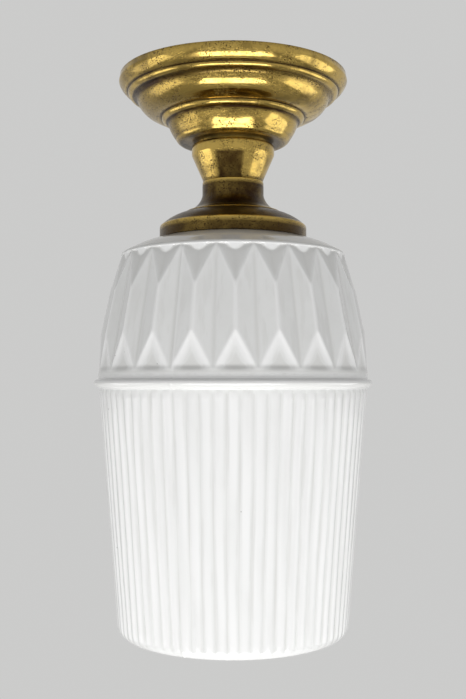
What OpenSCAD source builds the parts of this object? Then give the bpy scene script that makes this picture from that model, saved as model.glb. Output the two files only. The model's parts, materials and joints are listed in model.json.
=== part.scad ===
// Flush ceiling lamp: brass canopy, neck and gallery with a closed opal glass shade.
// The origin is the centre of the canopy's face on the ceiling, with +Z up and the lamp below it.
// The face that the photograph shows looks along -Y.

/* [Canopy] */
// Diameter of the canopy at its widest
rim_d = 124.4; // [118:0.2:140]
// Depth of the widest line below the ceiling
rim_line = 3.3; // [2:0.1:5]
// Height of the first tier
rim_h = 8.3; // [6:0.1:12]
// Height of the bead and cove under the first tier
shelf_h = 4.3; // [3.5:0.1:7]
// Diameter of the second tier at its top
tier_d = 104.8; // [98:0.2:110]
// Height of the second tier
tier_h = 9; // [8:0.1:14]
// Height of the bead under the second tier
quirk_h = 3.4; // [1.5:0.1:5]
// Diameter of the bowl at its top
bowl_d = 71.2; // [66:0.2:76]
// Height of the bowl
bowl_h = 11.1; // [9:0.1:16]
// Diameter of the canopy's flat floor
floor_d = 54; // [42:0.2:56]
// Sheet thickness of the canopy
canopy_wall = 0.8; // [0.6:0.05:1]

/* [Ceiling strap] */
// Length of the steel strap beyond the middle of a ceiling screw
strap_end = 10; // [8:0.5:16]
// Width of the strap
strap_w = 16; // [14:0.5:18]
// Thickness of the strap
strap_t = 2; // [1.5:0.1:2.5]
// Distance of the raised middle from the ceiling
strap_drop = 12; // [11:0.5:13]
// Length of the raised middle
strap_mid_l = 54; // [52:1:56]
// Distance between the two ceiling screws
screw_spacing = 72; // [70:1:74]
// Width of a ceiling screw slot
slot_w = 5; // [4:0.1:6]
// Length of a ceiling screw slot
slot_l = 12; // [9:0.5:13]

/* [Threaded tube] */
// Outer diameter of the hollow tube
tube_d = 10; // [9:0.5:11]
// Bore of the hollow tube
tube_bore = 7.5; // [6.6:0.1:8]
// Distance of the tube's upper end from the ceiling
tube_top = 7; // [6.5:0.1:7.5]
// Thickness of the hexagon nuts
nut_t = 3.5; // [3:0.1:4]
// Width across the flats of the nuts
nut_af = 14; // [13:0.5:15]

/* [Neck] */
// Thickness of the spacer washer under the canopy
spacer_t = 1.3; // [0.8:0.1:3]
// Diameter of the spacer washer
spacer_d = 40; // [30:0.5:42]
// Diameter of the neck's band
neck_d = 45; // [42:0.2:50]
// Height of the neck's band
neck_band_h = 5.2; // [3:0.1:8]
// Diameter of the neck's foot
neck_foot_d = 32.8; // [28:0.2:33]
// Height of the neck
neck_h = 19.6; // [16:0.1:26]
// Sheet thickness of the neck
neck_wall = 0.8; // [0.6:0.05:1.2]

/* [Gallery] */
// Diameter of the gallery's stem
stem_d = 33.4; // [33:0.2:36]
// Height of the stem's straight part
stem_h = 7.7; // [6:0.1:12]
// Diameter of the flare at its foot
flare_d = 52; // [48:0.2:56]
// Height of the flare
flare_h = 9.8; // [8:0.1:13]
// Height of the dome from the flare to the skirt
dome_h = 7.9; // [7:0.1:10]
// Outer diameter of the skirt
skirt_d = 79.8; // [79:0.2:84]
// Height of the skirt
skirt_h = 6.2; // [5.8:0.1:8]
// Sheet thickness of the gallery
gallery_wall = 0.9; // [0.7:0.05:1.1]

/* [Glass neck and its thread] */
// Wall thickness of the threaded ring in the skirt
ring_wall = 1.25; // [1:0.05:2]
// Clearance between the glass thread and the ring
thread_play = 0.5; // [0.3:0.05:0.6]
// Height of the glass thread over the glass neck
glass_thread_h = 1.6; // [1.4:0.1:2]
// Wall thickness of the glass neck
glass_neck_wall = 3.1; // [2.8:0.1:4]
// Rise of the glass rim above the foot of the gallery's dome
rim_rise = 0.8; // [0.4:0.1:0.9]
// Rise of the glass thread in one turn
glass_pitch = 4; // [3.8:0.1:4.2]
// Thickness of the rubber gasket
gasket_t = 1; // [0.6:0.1:1.1]

/* [Shade] */
// Wall thickness of the glass
glass_wall = 3.4; // [2.8:0.1:4]
// Diameter of the shoulder's edge
shoulder_d = 121.2; // [116:0.2:124]
// Drop of the shoulder from the neck to its edge
shoulder_h = 9.5; // [8.5:0.1:12]
// Number of facets round the shade
facet_count = 21; // [18:1:26]
// Turn of the first ridge from the front
facet_turn = 1; // [0:0.5:20]
// How far the ridges' upper ends stand out of the straight line from shoulder to band
ridge_top_out = 2.1; // [1.2:0.05:3]
// Depth of the ridges' upper ends below the shoulder's edge
ridge_top_h = 20.2; // [16:0.2:24]
// How far the ridges' lower ends stand out of the same line
ridge_low_out = 2.37; // [1.5:0.01:2.9]
// Length of the straight ridges
ridge_l = 22.4; // [18:0.2:26]
// Diameter of the plain band under the facets
band_d = 145.2; // [144.4:0.2:147]
// Height from the shoulder's edge to the plain band
facet_h = 62.1; // [56:0.2:70]
// Height of the plain band
band_h = 4; // [2:0.1:6]
// How far the bead ring stands out of the band
bead_out = 2.4; // [1.4:0.1:4.4]
// Height of the bead ring
bead_h = 4.8; // [4:0.1:6]
// Number of flutes round the wall
rib_count = 68; // [48:1:80]
// Depth of the flutes
rib_depth = 0.7; // [0.4:0.05:1]
// Diameter over the flutes at the bottom
foot_d = 124.6; // [118:0.2:132]
// Height of the fluted wall
wall_h = 125.7; // [100:0.1:150]
// Radius of the bottom corner
foot_r = 5; // [4:0.1:7]

/* [Lampholder] */
// Outer diameter of the lampholder
holder_d = 40.4; // [40:0.1:42]
// Wall thickness of the lampholder's brass shells
holder_wall = 0.8; // [0.6:0.05:1]
// Length of the collar that screws on the tube
collar_h = 9; // [7.5:0.1:10]
// Diameter of the collar
collar_d = 15; // [14:0.2:17]
// Height of the holder cap's dome
cap_dome_h = 12.2; // [11.6:0.1:13]
// Height of the holder cap's straight wall
cap_wall_h = 8; // [6:0.1:10]
// Height of the holder skirt
holder_skirt_h = 29; // [28.6:0.1:30.5]
// Diameter of the mouth of the holder skirt
mouth_d = 31.2; // [30:0.1:33]
// Thickness of the porcelain insert's top
insert_t = 11; // [9:0.1:11.4]

/* [Bulb] */
// Diameter over the bulb cap's thread
cap_thread_d = 26.4; // [26.2:0.1:26.6]
// Diameter of the bulb cap under its thread
cap_core_d = 24.4; // [24.2:0.1:24.6]
// Rise of the bulb thread in one turn
cap_pitch = 3.629; // [3.6:0.001:3.66]
// Length of the bulb
bulb_l = 105; // [98:0.5:120]
// Diameter of the bulb's glass
bulb_d = 60; // [56:0.5:61]
// Thickness of the bulb's glass
bulb_wall = 0.6; // [0.4:0.05:1]

/* [Wiring] */
// Diameter of an insulated wire
wire_d = 2.2; // [1.8:0.1:2.4]
// Width of the terminal block along the strap
block_l = 17; // [16:0.5:17.5]
// Depth of the terminal block across the strap
block_w = 18; // [16:0.5:20]
// Height of the terminal block
block_h = 11; // [10.5:0.1:12]

/* [Hidden] */
$fn = 96;

// Clearance between parts that move past each other, or that are seated loosely
play = 0.3;
// Clearance of a close metal fit
slip = 0.05;
// How far a ridge is rooted in the wall that carries it
root = 0.4;

// Colours of the materials
brass = "#c09a3e";
steel = "#a4a8ab";
porcelain = "#ece8dc";
opal = "#f3f3f0";
rubber = "#2b2a28";
fibre = "#7a3327";

// Levels of the clamped stack, from the ceiling down
canopy_h = rim_h + shelf_h + tier_h + quirk_h + bowl_h;
neck_top = -canopy_h - spacer_t;
neck_foot = neck_top - neck_h;
plate_low = neck_foot - gallery_wall;
flare_foot = neck_foot - stem_h - flare_h;
dome_foot = flare_foot - dome_h;
skirt_low = dome_foot - skirt_h;
clamp_washer_t = 1;
clamp_nut_low = plate_low - clamp_washer_t - nut_t;
collar_top = clamp_nut_low - play;
collar_low = collar_top - collar_h;
bush_flange = 1;
tube_low = collar_low + bush_flange;
strap_low = -strap_drop - strap_t;
strap_l = screw_spacing + 2 * strap_end;
hole_r = tube_d / 2 + slip;
clear_r = tube_d / 2 + 0.25;

// Earth terminal on the strap
earth_x = -strap_mid_l / 2 + 10;
earth_r = 2;
earth_washer_t = 0.8;

// Levels and radii of the shade
seat = skirt_low - play;
glass_top = dome_foot + rim_rise;
edge = seat - shoulder_h;
ridge_top = edge - ridge_top_h;
band_top = edge - facet_h;
band_low = band_top - band_h;
bead_mid = band_low - bead_h / 2;
bead_low = band_low - bead_h;
foot_top = bead_low - wall_h;
shade_low = foot_top - foot_r;
lip_h = 0.5;
lip_inset = 0.8;
// How deep the facets' corners and the wall behind the flutes lie under the bands' own surface
bury = 0.2;
sunk = 0.3;
rib_fade = 4;
pitch_angle = 360 / facet_count;
rib_steps = 6;
wall_in = 0.2;
wall_top_d = band_d - 2 * wall_in;
bead_d = band_d + 2 * bead_out;
facet_slope = (band_d - shoulder_d) / 2 / facet_h;
ridge_top_r = shoulder_d / 2 + ridge_top_h * facet_slope + ridge_top_out;
ridge_low_r = shoulder_d / 2 + (ridge_top_h + ridge_l) * facet_slope + ridge_low_out;

// The glass turns out of the gallery, so ring and neck carry threads half a pitch apart
ring_r = skirt_d / 2 - gallery_wall - slip;
ring_bore_r = ring_r - ring_wall;
glass_thread_d = 2 * (ring_bore_r - thread_play);
glass_neck_d = glass_thread_d - 2 * glass_thread_h;
glass_bore = glass_neck_d - 2 * glass_neck_wall;
ring_crest_r = glass_neck_d / 2 + thread_play;
ring_gap = 1;
ring_h = skirt_h - ring_gap;
thread_start = 1.9;
thread_end = 1.4;
glass_ridge_low = seat + thread_start;
glass_ridge_w = [2, 1.2];
glass_ridge_to = 360 * (glass_top - thread_end - glass_ridge_low) / glass_pitch;
ring_lead = 40;
ring_ridge_from = 150;
ring_ridge_to = glass_ridge_to + ring_lead;

// Lampholder levels
cap_low = collar_low - cap_dome_h - cap_wall_h;
insert_top = cap_low + cap_wall_h - 2;
insert_low = insert_top - insert_t;
holder_low = cap_low - holder_skirt_h;
holder_r = holder_d / 2;
insert_r = holder_r - holder_wall - 0.5;
shell_wall = 0.5;
shell_bore_r = cap_thread_d / 2 + play + 0.1;
shell_r = shell_bore_r + shell_wall;
shell_crest_r = cap_core_d / 2 + play + 0.1;
shell_low = holder_low + 3.4;
leaf_t = 0.5;
leaf_drop = 2.2;
rivet_x = 7;
post_x = 11;
post_size = [6, 7, 5];
post_top = insert_top + post_size.z;
clamp_screw_r = 1.25;
clamp_hole_r = 1.3;
clamp_z = insert_top + 2.1;

// Bulb levels
tip = insert_low - leaf_t - leaf_drop - play;
bulb_low = tip - bulb_l;
tip_h = 1.2;
tip_r = 4.4;
insulator_h = 4;
shell_top = tip - tip_h - insulator_h;
cap_h = 20;
cap_lip = 1.4;
cap_end = shell_top - cap_h;
cap_turns = 3.2;
cap_ridge_low = shell_top - 0.8 - cap_turns * cap_pitch;
cap_ridge_w = [1.9, 1];
cap_foot_r = cap_thread_d / 2 - 0.2;
cap_inner_r = cap_foot_r - shell_wall - slip;
filament_r = 11;
filament_z = bulb_low + bulb_d / 2 + 12;
coil_r = 0.5;
stem_low = filament_z + 12;

// Terminal block in the canopy
block_x = nut_af / 2 + 2.5;
terminal_x = [block_x + 4.2, block_x + block_l - 4.2];
terminal_z = strap_low - block_h / 2;
terminal_r = 2.5;
terminal_bore = wire_d / 2 + 0.4;
block_screw_y = block_w / 2 - 4;
block_mid = block_x + block_l / 2;
block_counterbore = 3.4;

// Routes of the two wires, from the lampholder to the terminal block
wire_x = 1.6;
wire_sides = 8;
wire_steps = 3;
wire_seat = 3.4;
wire_free = 1;
wire_slant = 3.5;
wire_lead = 4.6;
wire_grip = 2;
wire_straight = 8;
wire_top = -3.2;
wire_drop = 1.8;
wire_fall = 7;
wire_turn = 1;
wire_run = [11, 3.5];
wire_in = 5;
wire_out = 2;
wire_loop = 7;
wire_back = block_w / 2 + wire_loop;
live_route = [
    [post_x, 0, post_top - wire_seat], [post_x, 0, post_top + wire_free],
    [post_x - wire_free, 0, post_top + wire_free + wire_slant],
    [wire_x, 0, tube_low - wire_lead], [wire_x, 0, tube_low + wire_grip],
    [wire_x, 0, tube_low + wire_straight], [wire_x, 0, -tube_top - wire_straight + wire_grip],
    [wire_x, 0, -tube_top - wire_turn], [wire_x, 0, wire_top], [wire_run.x, wire_run.y, wire_top],
    [terminal_x[1] - wire_turn, wire_back / 2, wire_top],
    [terminal_x[1], wire_back - wire_turn, wire_top - wire_drop],
    [terminal_x[1], wire_back, wire_top - wire_drop - wire_fall],
    [terminal_x[1], wire_back, terminal_z], [terminal_x[1], block_w / 2 + wire_out, terminal_z],
    [terminal_x[1], block_w / 2 - wire_in, terminal_z]
];
neutral_route = [
    [-post_x, 0, post_top - wire_seat], [-post_x, 0, post_top + wire_free],
    [wire_free - post_x, 0, post_top + wire_free + wire_slant],
    [-wire_x, 0, tube_low - wire_lead], [-wire_x, 0, tube_low + wire_grip],
    [-wire_x, 0, tube_low + wire_straight], [-wire_x, 0, -tube_top - wire_straight + wire_grip],
    [-wire_x, 0, -tube_top - wire_turn], [-wire_x, 0, wire_top], [-wire_turn, wire_back / 2, wire_top],
    [terminal_x[0] / 2, wire_back - wire_drop, wire_top],
    [terminal_x[0], wire_back - wire_turn, wire_top - 2 * wire_drop],
    [terminal_x[0], wire_back, wire_top - wire_drop - wire_fall],
    [terminal_x[0], wire_back, terminal_z], [terminal_x[0], block_w / 2 + wire_out, terminal_z],
    [terminal_x[0], block_w / 2 - wire_in, terminal_z]
];

function unit(v) = v / norm(v);

// Arc from p towards q that stands out by s to the left of the way, without its last point
function bow(p, q, s, n = 8) =
    let (
        d = q - p,
        half = 2 * atan(2 * s / norm(d)),
        r = norm(d) / 2 / sin(half),
        side = unit([-d.y, d.x]),
        way = unit(d),
        o = (p + q) / 2 - side * r * cos(half)
    )
    [for (i = [0:n - 1]) let (a = half * (2 * i / n - 1)) o + r * (side * cos(a) + way * sin(a))];

// The path moved by t to its right, with mitred corners
function inset(path, t) =
    let (
        n = len(path) - 1,
        right = [for (i = [0:n - 1]) let (d = unit(path[i + 1] - path[i])) [d.y, -d.x]]
    )
    [for (i = [0:n])
        let (a = right[max(i - 1, 0)], b = right[min(i, n - 1)])
        path[i] + t * (a + b) / (1 + a * b)];

function reversed(list) = [for (i = [len(list) - 1:-1:0]) list[i]];

// Ring of sheet metal between a path and its inset
module spun(path, t) {
    rotate_extrude()
        polygon(concat(path, reversed(inset(path, t))));
}

// Flat ring between two levels
module washer(r_out, r_in, low, h) {
    rotate_extrude()
        polygon([[r_in, low], [r_out, low], [r_out, low + h], [r_in, low + h]]);
}

module hex_nut(low) {
    translate([0, 0, low])
        difference() {
            cylinder(h = nut_t, d = nut_af / cos(30), $fn = 6);
            translate([0, 0, -1])
                cylinder(h = nut_t + 2, r = hole_r);
        }
}

// Right-handed helical ridge, rooted in a wall of radius r and reaching crest
module ridge(r, crest, pitch, low, from, to, width, step) {
    s = sign(crest - r);
    base = r - s * root;
    n = ceil((to - from) / step);
    section = [[base, -width[0] / 2], [crest, -width[1] / 2], [crest, width[1] / 2], [base, width[0] / 2]];
    ring = s > 0 ? reversed(section) : section;
    points = [for (i = [0:n]) let (a = from + (to - from) * i / n)
        for (p = ring) [p[0] * cos(a), p[0] * sin(a), low + pitch * a / 360 + p[1]]];
    sides = [for (i = [0:n - 1], j = [0:3]) let (k = (j + 1) % 4)
        each [[4 * i + j, 4 * i + 4 + k, 4 * i + k], [4 * i + j, 4 * i + 4 + j, 4 * i + 4 + k]]];
    polyhedron(points, concat(sides, [[0, 1, 2, 3]], [[4 * n + 3, 4 * n + 2, 4 * n + 1, 4 * n]]));
}

// Smooth curve along a route, straight at both ends
function curve(route, n) =
    let (last = len(route) - 1)
    concat(
        [route[0]],
        [for (i = [1:last - 1]) let (a = (route[i - 1] + route[i]) / 2, b = (route[i] + route[i + 1]) / 2)
            for (j = [0:n - 1]) let (t = j / n)
                a * (1 - t) * (1 - t) + route[i] * 2 * t * (1 - t) + b * t * t],
        [(route[last - 1] + route[last]) / 2, route[last]]
    );

// Side vectors carried along the tangents without twist
function carried(tangents, v, i = 0) =
    i == len(tangents) ? [] :
    let (w = unit(v - tangents[i] * (v * tangents[i])))
    concat([w], carried(tangents, w, i + 1));

module tube_along(path, r, sides) {
    last = len(path) - 1;
    tangents = [for (i = [0:last]) unit(path[min(i + 1, last)] - path[max(i - 1, 0)])];
    across = carried(tangents, [0, 1, 0]);
    points = [for (i = [0:last], j = [0:sides - 1])
        let (a = 360 * j / sides)
        path[i] + r * (across[i] * cos(a) + cross(tangents[i], across[i]) * sin(a))];
    walls = [for (i = [0:last - 1], j = [0:sides - 1]) let (k = (j + 1) % sides, b = i * sides)
        each [[b + j, b + sides + k, b + k], [b + j, b + sides + j, b + sides + k]]];
    polyhedron(points, concat(
        walls,
        [[for (j = [0:sides - 1]) j]],
        [[for (j = [sides - 1:-1:0]) last * sides + j]]
    ));
}

// Slotted round-headed screw along +Z, with its head under z = 0
module screw(shank_r, shank_l, head_r, head_h) {
    slot = [head_r * 2 + 1, shank_r * 0.5, head_h * 0.45];
    difference() {
        union() {
            cylinder(h = shank_l, r = shank_r, $fn = 32);
            translate([0, 0, -head_h])
                cylinder(h = head_h, r1 = head_r * 0.8, r2 = head_r, $fn = 32);
        }
        translate([0, 0, -head_h + slot.z / 2 - 0.01])
            cube(slot, center = true);
    }
}

module ceiling_strap() {
    foot_l = (strap_l - strap_mid_l) / 2;
    color(steel)
        difference() {
            union() {
                for (s = [-1, 1]) {
                    translate([s > 0 ? strap_mid_l / 2 : -strap_l / 2, -strap_w / 2, -strap_t])
                        cube([foot_l, strap_w, strap_t]);
                    translate([s * (strap_mid_l - strap_t) / 2 - strap_t / 2, -strap_w / 2, strap_low])
                        cube([strap_t, strap_w, -strap_low]);
                }
                translate([-strap_mid_l / 2, -strap_w / 2, strap_low])
                    cube([strap_mid_l, strap_w, strap_t]);
            }
            for (s = [-1, 1])
                translate([s * screw_spacing / 2, 0, -strap_t - 1]) {
                    for (t = [-1, 1])
                        translate([t * (slot_l - slot_w) / 2, 0, 0])
                            cylinder(h = strap_t + 2, d = slot_w);
                    translate([-(slot_l - slot_w) / 2, -slot_w / 2, 0])
                        cube([slot_l - slot_w, slot_w, strap_t + 2]);
                }
            for (hole = [[0, hole_r], [earth_x, earth_r + slip], [block_mid, clamp_screw_r + slip]])
                translate([hole[0], 0, strap_low - 1])
                    cylinder(h = strap_t + 2, r = hole[1]);
        }
}

module strap_nuts() {
    color(steel) {
        hex_nut(-strap_drop);
        hex_nut(strap_low - nut_t);
    }
}

module earth_screw() {
    color(brass)
        translate([earth_x, 0, strap_low - earth_washer_t])
            screw(earth_r, earth_washer_t + strap_t + 3, 4, 2.4);
}

module earth_washer() {
    color(brass)
        translate([earth_x, 0, 0])
            washer(4.6, earth_r + slip, strap_low - earth_washer_t, earth_washer_t);
}

module threaded_tube() {
    chamfer = 0.5;
    r = tube_d / 2;
    color(steel)
        rotate_extrude()
            polygon([
                [tube_bore / 2, tube_low], [r - chamfer, tube_low], [r, tube_low + chamfer],
                [r, -tube_top - chamfer], [r - chamfer, -tube_top], [tube_bore / 2, -tube_top]
            ]);
}

module tube_bushes() {
    bore = wire_x + wire_d / 2 + 0.2;
    sleeve = tube_bore / 2 - slip;
    flange = tube_d / 2 - 0.5;
    color(fibre)
        rotate_extrude() {
            polygon([
                [bore, -tube_top - 4], [sleeve, -tube_top - 4], [sleeve, -tube_top],
                [flange, -tube_top], [flange, bush_flange - tube_top], [bore, bush_flange - tube_top]
            ]);
            polygon([
                [bore, tube_low + 4], [sleeve, tube_low + 4], [sleeve, tube_low],
                [flange, tube_low], [flange, tube_low - bush_flange], [bore, tube_low - bush_flange]
            ]);
        }
}

module terminal_block() {
    color(porcelain)
        difference() {
            translate([block_x, -block_w / 2, strap_low - block_h])
                cube([block_l, block_w, block_h]);
            for (x = terminal_x) {
                translate([x, 0, terminal_z])
                    rotate([90, 0, 0])
                        cylinder(h = block_w + 2, r = terminal_r + slip, center = true);
                for (y = [-1, 1])
                    translate([x, y * block_screw_y, strap_low - block_h - 1])
                        cylinder(h = block_h / 2 + 1, r = clamp_screw_r + 0.65);
            }
            translate([block_mid, 0, strap_low - block_h - 1]) {
                cylinder(h = block_h + 2, r = clamp_screw_r + 0.15);
                cylinder(h = block_counterbore + 1, r = 2.7);
            }
        }
}

module terminal_tubes() {
    color(brass)
        for (x = terminal_x)
            difference() {
                translate([x, 0, terminal_z])
                    rotate([90, 0, 0])
                        cylinder(h = block_w - 2, r = terminal_r, center = true);
                translate([x, 0, terminal_z])
                    rotate([90, 0, 0])
                        cylinder(h = block_w, r = terminal_bore, center = true);
                for (y = [-1, 1])
                    translate([x, y * block_screw_y, terminal_z - terminal_r - 1])
                        cylinder(h = terminal_r + 1, r = clamp_hole_r);
            }
}

module terminal_block_screws() {
    head_h = 1.2;
    start = strap_low - block_h + head_h;
    color(brass)
        for (x = terminal_x, y = [-1, 1])
            translate([x, y * block_screw_y, start])
                screw(clamp_screw_r, terminal_z - wire_d / 2 - slip - start, 1.6, head_h);
}

module block_fixing_screw() {
    color(brass)
        translate([block_mid, 0, strap_low - block_h + block_counterbore])
            screw(clamp_screw_r, block_h - block_counterbore + strap_t + 1.5, 2.4, 1.6);
}

// Outer line of the canopy, from the ceiling to the hole in its floor
canopy_line =
    let (
        top = [rim_d / 2 - 0.6, 0],
        wide = [rim_d / 2, -rim_line],
        bead_top = [rim_d / 2 - 4.8, -rim_h],
        rim_low = bead_top + [0.8, 0.1],
        bead_end = [tier_d / 2 + 2.4, -rim_h - shelf_h * 0.6],
        tier_top = [tier_d / 2, -rim_h - shelf_h],
        tier_end = [bowl_d / 2 + 4.2, -rim_h - shelf_h - tier_h],
        tier_low = tier_end + [4.8, 1.2],
        quirk = tier_end - [0.7, 0],
        bowl_top = [bowl_d / 2, tier_end.y - quirk_h],
        quirk_end = bowl_top + [1, 0.6],
        floor_edge = [floor_d / 2, -canopy_h],
        bowl_low = floor_edge + [4.5, 3]
    )
    concat(
        [top], bow(top - [0, 0.6], wide, 0.1, 4), bow(wide, rim_low, 0.55), [rim_low],
        bow(bead_top, bead_end, 0.8), bow(bead_end, tier_top, -0.35, 5), bow(tier_top, tier_low, 1.3, 10),
        bow(tier_low, tier_end, 0.35, 5), [tier_end], bow(quirk, quirk_end, 0.8, 6),
        bow(quirk_end, bowl_top, -0.15, 4), bow(bowl_top, bowl_low, 0.5), bow(bowl_low, floor_edge, 0.8, 6),
        [floor_edge, [clear_r, -canopy_h]]
    );

module canopy() {
    color(brass)
        spun(canopy_line, canopy_wall);
}

module canopy_washer() {
    color(brass)
        washer(spacer_d / 2, clear_r, neck_top, spacer_t);
}

module neck_cup() {
    roll = 0.8;
    lip = 0.6;
    band = [neck_d / 2, neck_top - neck_band_h];
    line = concat(
        [[clear_r, neck_top]],
        bow([neck_d / 2 - roll, neck_top], [neck_d / 2, neck_top - roll], 0.23, 4),
        bow([neck_d / 2, neck_top - roll], band, 0.1, 4),
        [band, [neck_foot_d / 2, neck_foot + lip], [neck_foot_d / 2, neck_foot]]
    );
    color(brass)
        spun(line, neck_wall);
}

module gallery() {
    corner = 0.8;
    step_h = 0.7;
    stem_r = stem_d / 2;
    flare_r = flare_d / 2;
    turn = [skirt_d / 2 - 1, dome_foot + 1.3];
    line = concat(
        [[clear_r, neck_foot]],
        bow([stem_r - corner, neck_foot], [stem_r, neck_foot - corner], 0.23, 4),
        [[stem_r, neck_foot - corner]],
        bow([stem_r, neck_foot - stem_h], [flare_r, flare_foot + step_h], -1.9, 10),
        [[flare_r, flare_foot + step_h]],
        bow([flare_r + 0.3, flare_foot], turn, 0.9, 10),
        bow(turn, [skirt_d / 2, dome_foot], 0.25, 4),
        [[skirt_d / 2, dome_foot], [skirt_d / 2, skirt_low]]
    );
    color(brass)
        spun(line, gallery_wall);
}

module thread_ring() {
    color(brass)
        union() {
            washer(ring_r, ring_bore_r, skirt_low, ring_h);
            ridge(ring_bore_r, ring_crest_r, glass_pitch, glass_ridge_low - glass_pitch / 2,
                ring_ridge_from, ring_ridge_to, glass_ridge_w, 10);
        }
}

module gallery_washer() {
    color(steel)
        washer(nut_af / 2 + 3, clear_r, plate_low - clamp_washer_t, clamp_washer_t);
}

module gallery_nut() {
    color(steel)
        hex_nut(clamp_nut_low);
}

module holder_cap() {
    collar_r = collar_d / 2;
    shoulder = collar_low + holder_wall;
    dome = concat(
        bow([collar_r, shoulder], [holder_r, collar_low - cap_dome_h], 3.2, 12),
        [[holder_r, collar_low - cap_dome_h], [holder_r, cap_low]]
    );
    color(brass)
        difference() {
            union() {
                spun(dome, holder_wall);
                washer(collar_r, hole_r, collar_low, collar_h);
            }
            translate([0, 0, (collar_top + collar_low) / 2])
                rotate([0, 90, 0])
                    cylinder(h = collar_r + 1, r = clamp_screw_r + slip);
        }
}

module holder_lock_screw() {
    color(steel)
        translate([tube_d / 2 + slip, 0, (collar_top + collar_low) / 2])
            rotate([0, 90, 0])
                cylinder(h = (collar_d - tube_d) / 2 + 0.6, r = clamp_screw_r);
}

module holder_skirt() {
    curl = 2.2;
    line = concat(
        [[holder_r, cap_low]],
        bow([holder_r, holder_low + curl], [holder_r - curl, holder_low], 0.64, 6),
        [[holder_r - curl, holder_low], [mouth_d / 2, holder_low]]
    );
    color(brass)
        spun(line, holder_wall);
}

module holder_insert() {
    wall_low = holder_low + holder_wall;
    inner_r = shell_r + 0.4;
    foot_edge = 1.8;
    color(porcelain)
        difference() {
            rotate_extrude()
                polygon([
                    [0, insert_top], [insert_r, insert_top], [insert_r, wall_low + foot_edge],
                    [insert_r - foot_edge, wall_low], [inner_r, wall_low], [inner_r, insert_low],
                    [0, insert_low]
                ]);
            translate([-rivet_x, 0, insert_low - 1])
                cylinder(h = insert_t + 2, r = clamp_hole_r, $fn = 32);
        }
}

module holder_terminals() {
    socket_depth = 3.6;
    color(brass)
        for (s = [-1, 1])
            translate([s * post_x, 0, insert_top])
                difference() {
                    translate([-post_size.x / 2, -post_size.y / 2, 0])
                        cube(post_size);
                    translate([0, 0, post_size.z - socket_depth])
                        cylinder(h = socket_depth + 1, r = terminal_bore, $fn = 32);
                    translate([0, 0, clamp_z - insert_top])
                        rotate([0, s * 90, 0])
                            cylinder(h = post_size.x, r = clamp_hole_r, $fn = 32);
                }
}

module holder_terminal_screws() {
    start = wire_d / 2 + slip;
    head_r = 2;
    head_h = 1.4;
    color(brass)
        for (s = [-1, 1])
            translate([s * (post_x + post_size.x / 2), 0, clamp_z])
                rotate([0, -s * 90, 0])
                    screw(clamp_screw_r, post_size.x / 2 - start, head_r, head_h);
}

module screw_shell() {
    ridge_low = cap_ridge_low - cap_pitch / 2;
    from = 360 * (shell_low + 1.2 - ridge_low) / cap_pitch;
    to = 360 * (insert_low - 3 - ridge_low) / cap_pitch;
    color(brass)
        union() {
            washer(shell_r, shell_bore_r, shell_low, insert_low - shell_low);
            ridge(shell_bore_r, shell_crest_r, cap_pitch, ridge_low, from, to, cap_ridge_w, 15);
        }
}

module centre_contact() {
    leaf_w = 5;
    color(brass)
        difference() {
            translate([0, leaf_w / 2, 0])
                rotate([90, 0, 0])
                    linear_extrude(height = leaf_w)
                        polygon([
                            [-rivet_x - 2.6, insert_low], [-rivet_x + 2, insert_low],
                            [-1.5, insert_low - leaf_drop], [3, insert_low - leaf_drop],
                            [3, insert_low - leaf_drop - leaf_t], [-1.8, insert_low - leaf_drop - leaf_t],
                            [-rivet_x + 1.8, insert_low - leaf_t], [-rivet_x - 2.6, insert_low - leaf_t]
                        ]);
            translate([-rivet_x, 0, insert_low - 2])
                cylinder(h = 3, r = clamp_hole_r, $fn = 32);
        }
}

module contact_rivet() {
    head = 0.7;
    color(brass)
        translate([-rivet_x, 0, insert_low - leaf_t]) {
            cylinder(h = insert_t + leaf_t, r = clamp_screw_r, $fn = 32);
            translate([0, 0, -head])
                cylinder(h = head, r = 2, $fn = 32);
        }
}

module live_wire() {
    color("#6a4326")
        tube_along(curve(live_route, wire_steps), wire_d / 2, wire_sides);
}

module neutral_wire() {
    color("#3a6399")
        tube_along(curve(neutral_route, wire_steps), wire_d / 2, wire_sides);
}

module glass_gasket() {
    color(rubber)
        washer(glass_neck_d / 2 - 0.3, glass_bore / 2 + 0.3, glass_top + play, gasket_t);
}

// Point of the shade at azimuth a from the front, radius r and level z
function around(a, r, z) = [r * sin(a), -r * cos(a), z];

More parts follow.
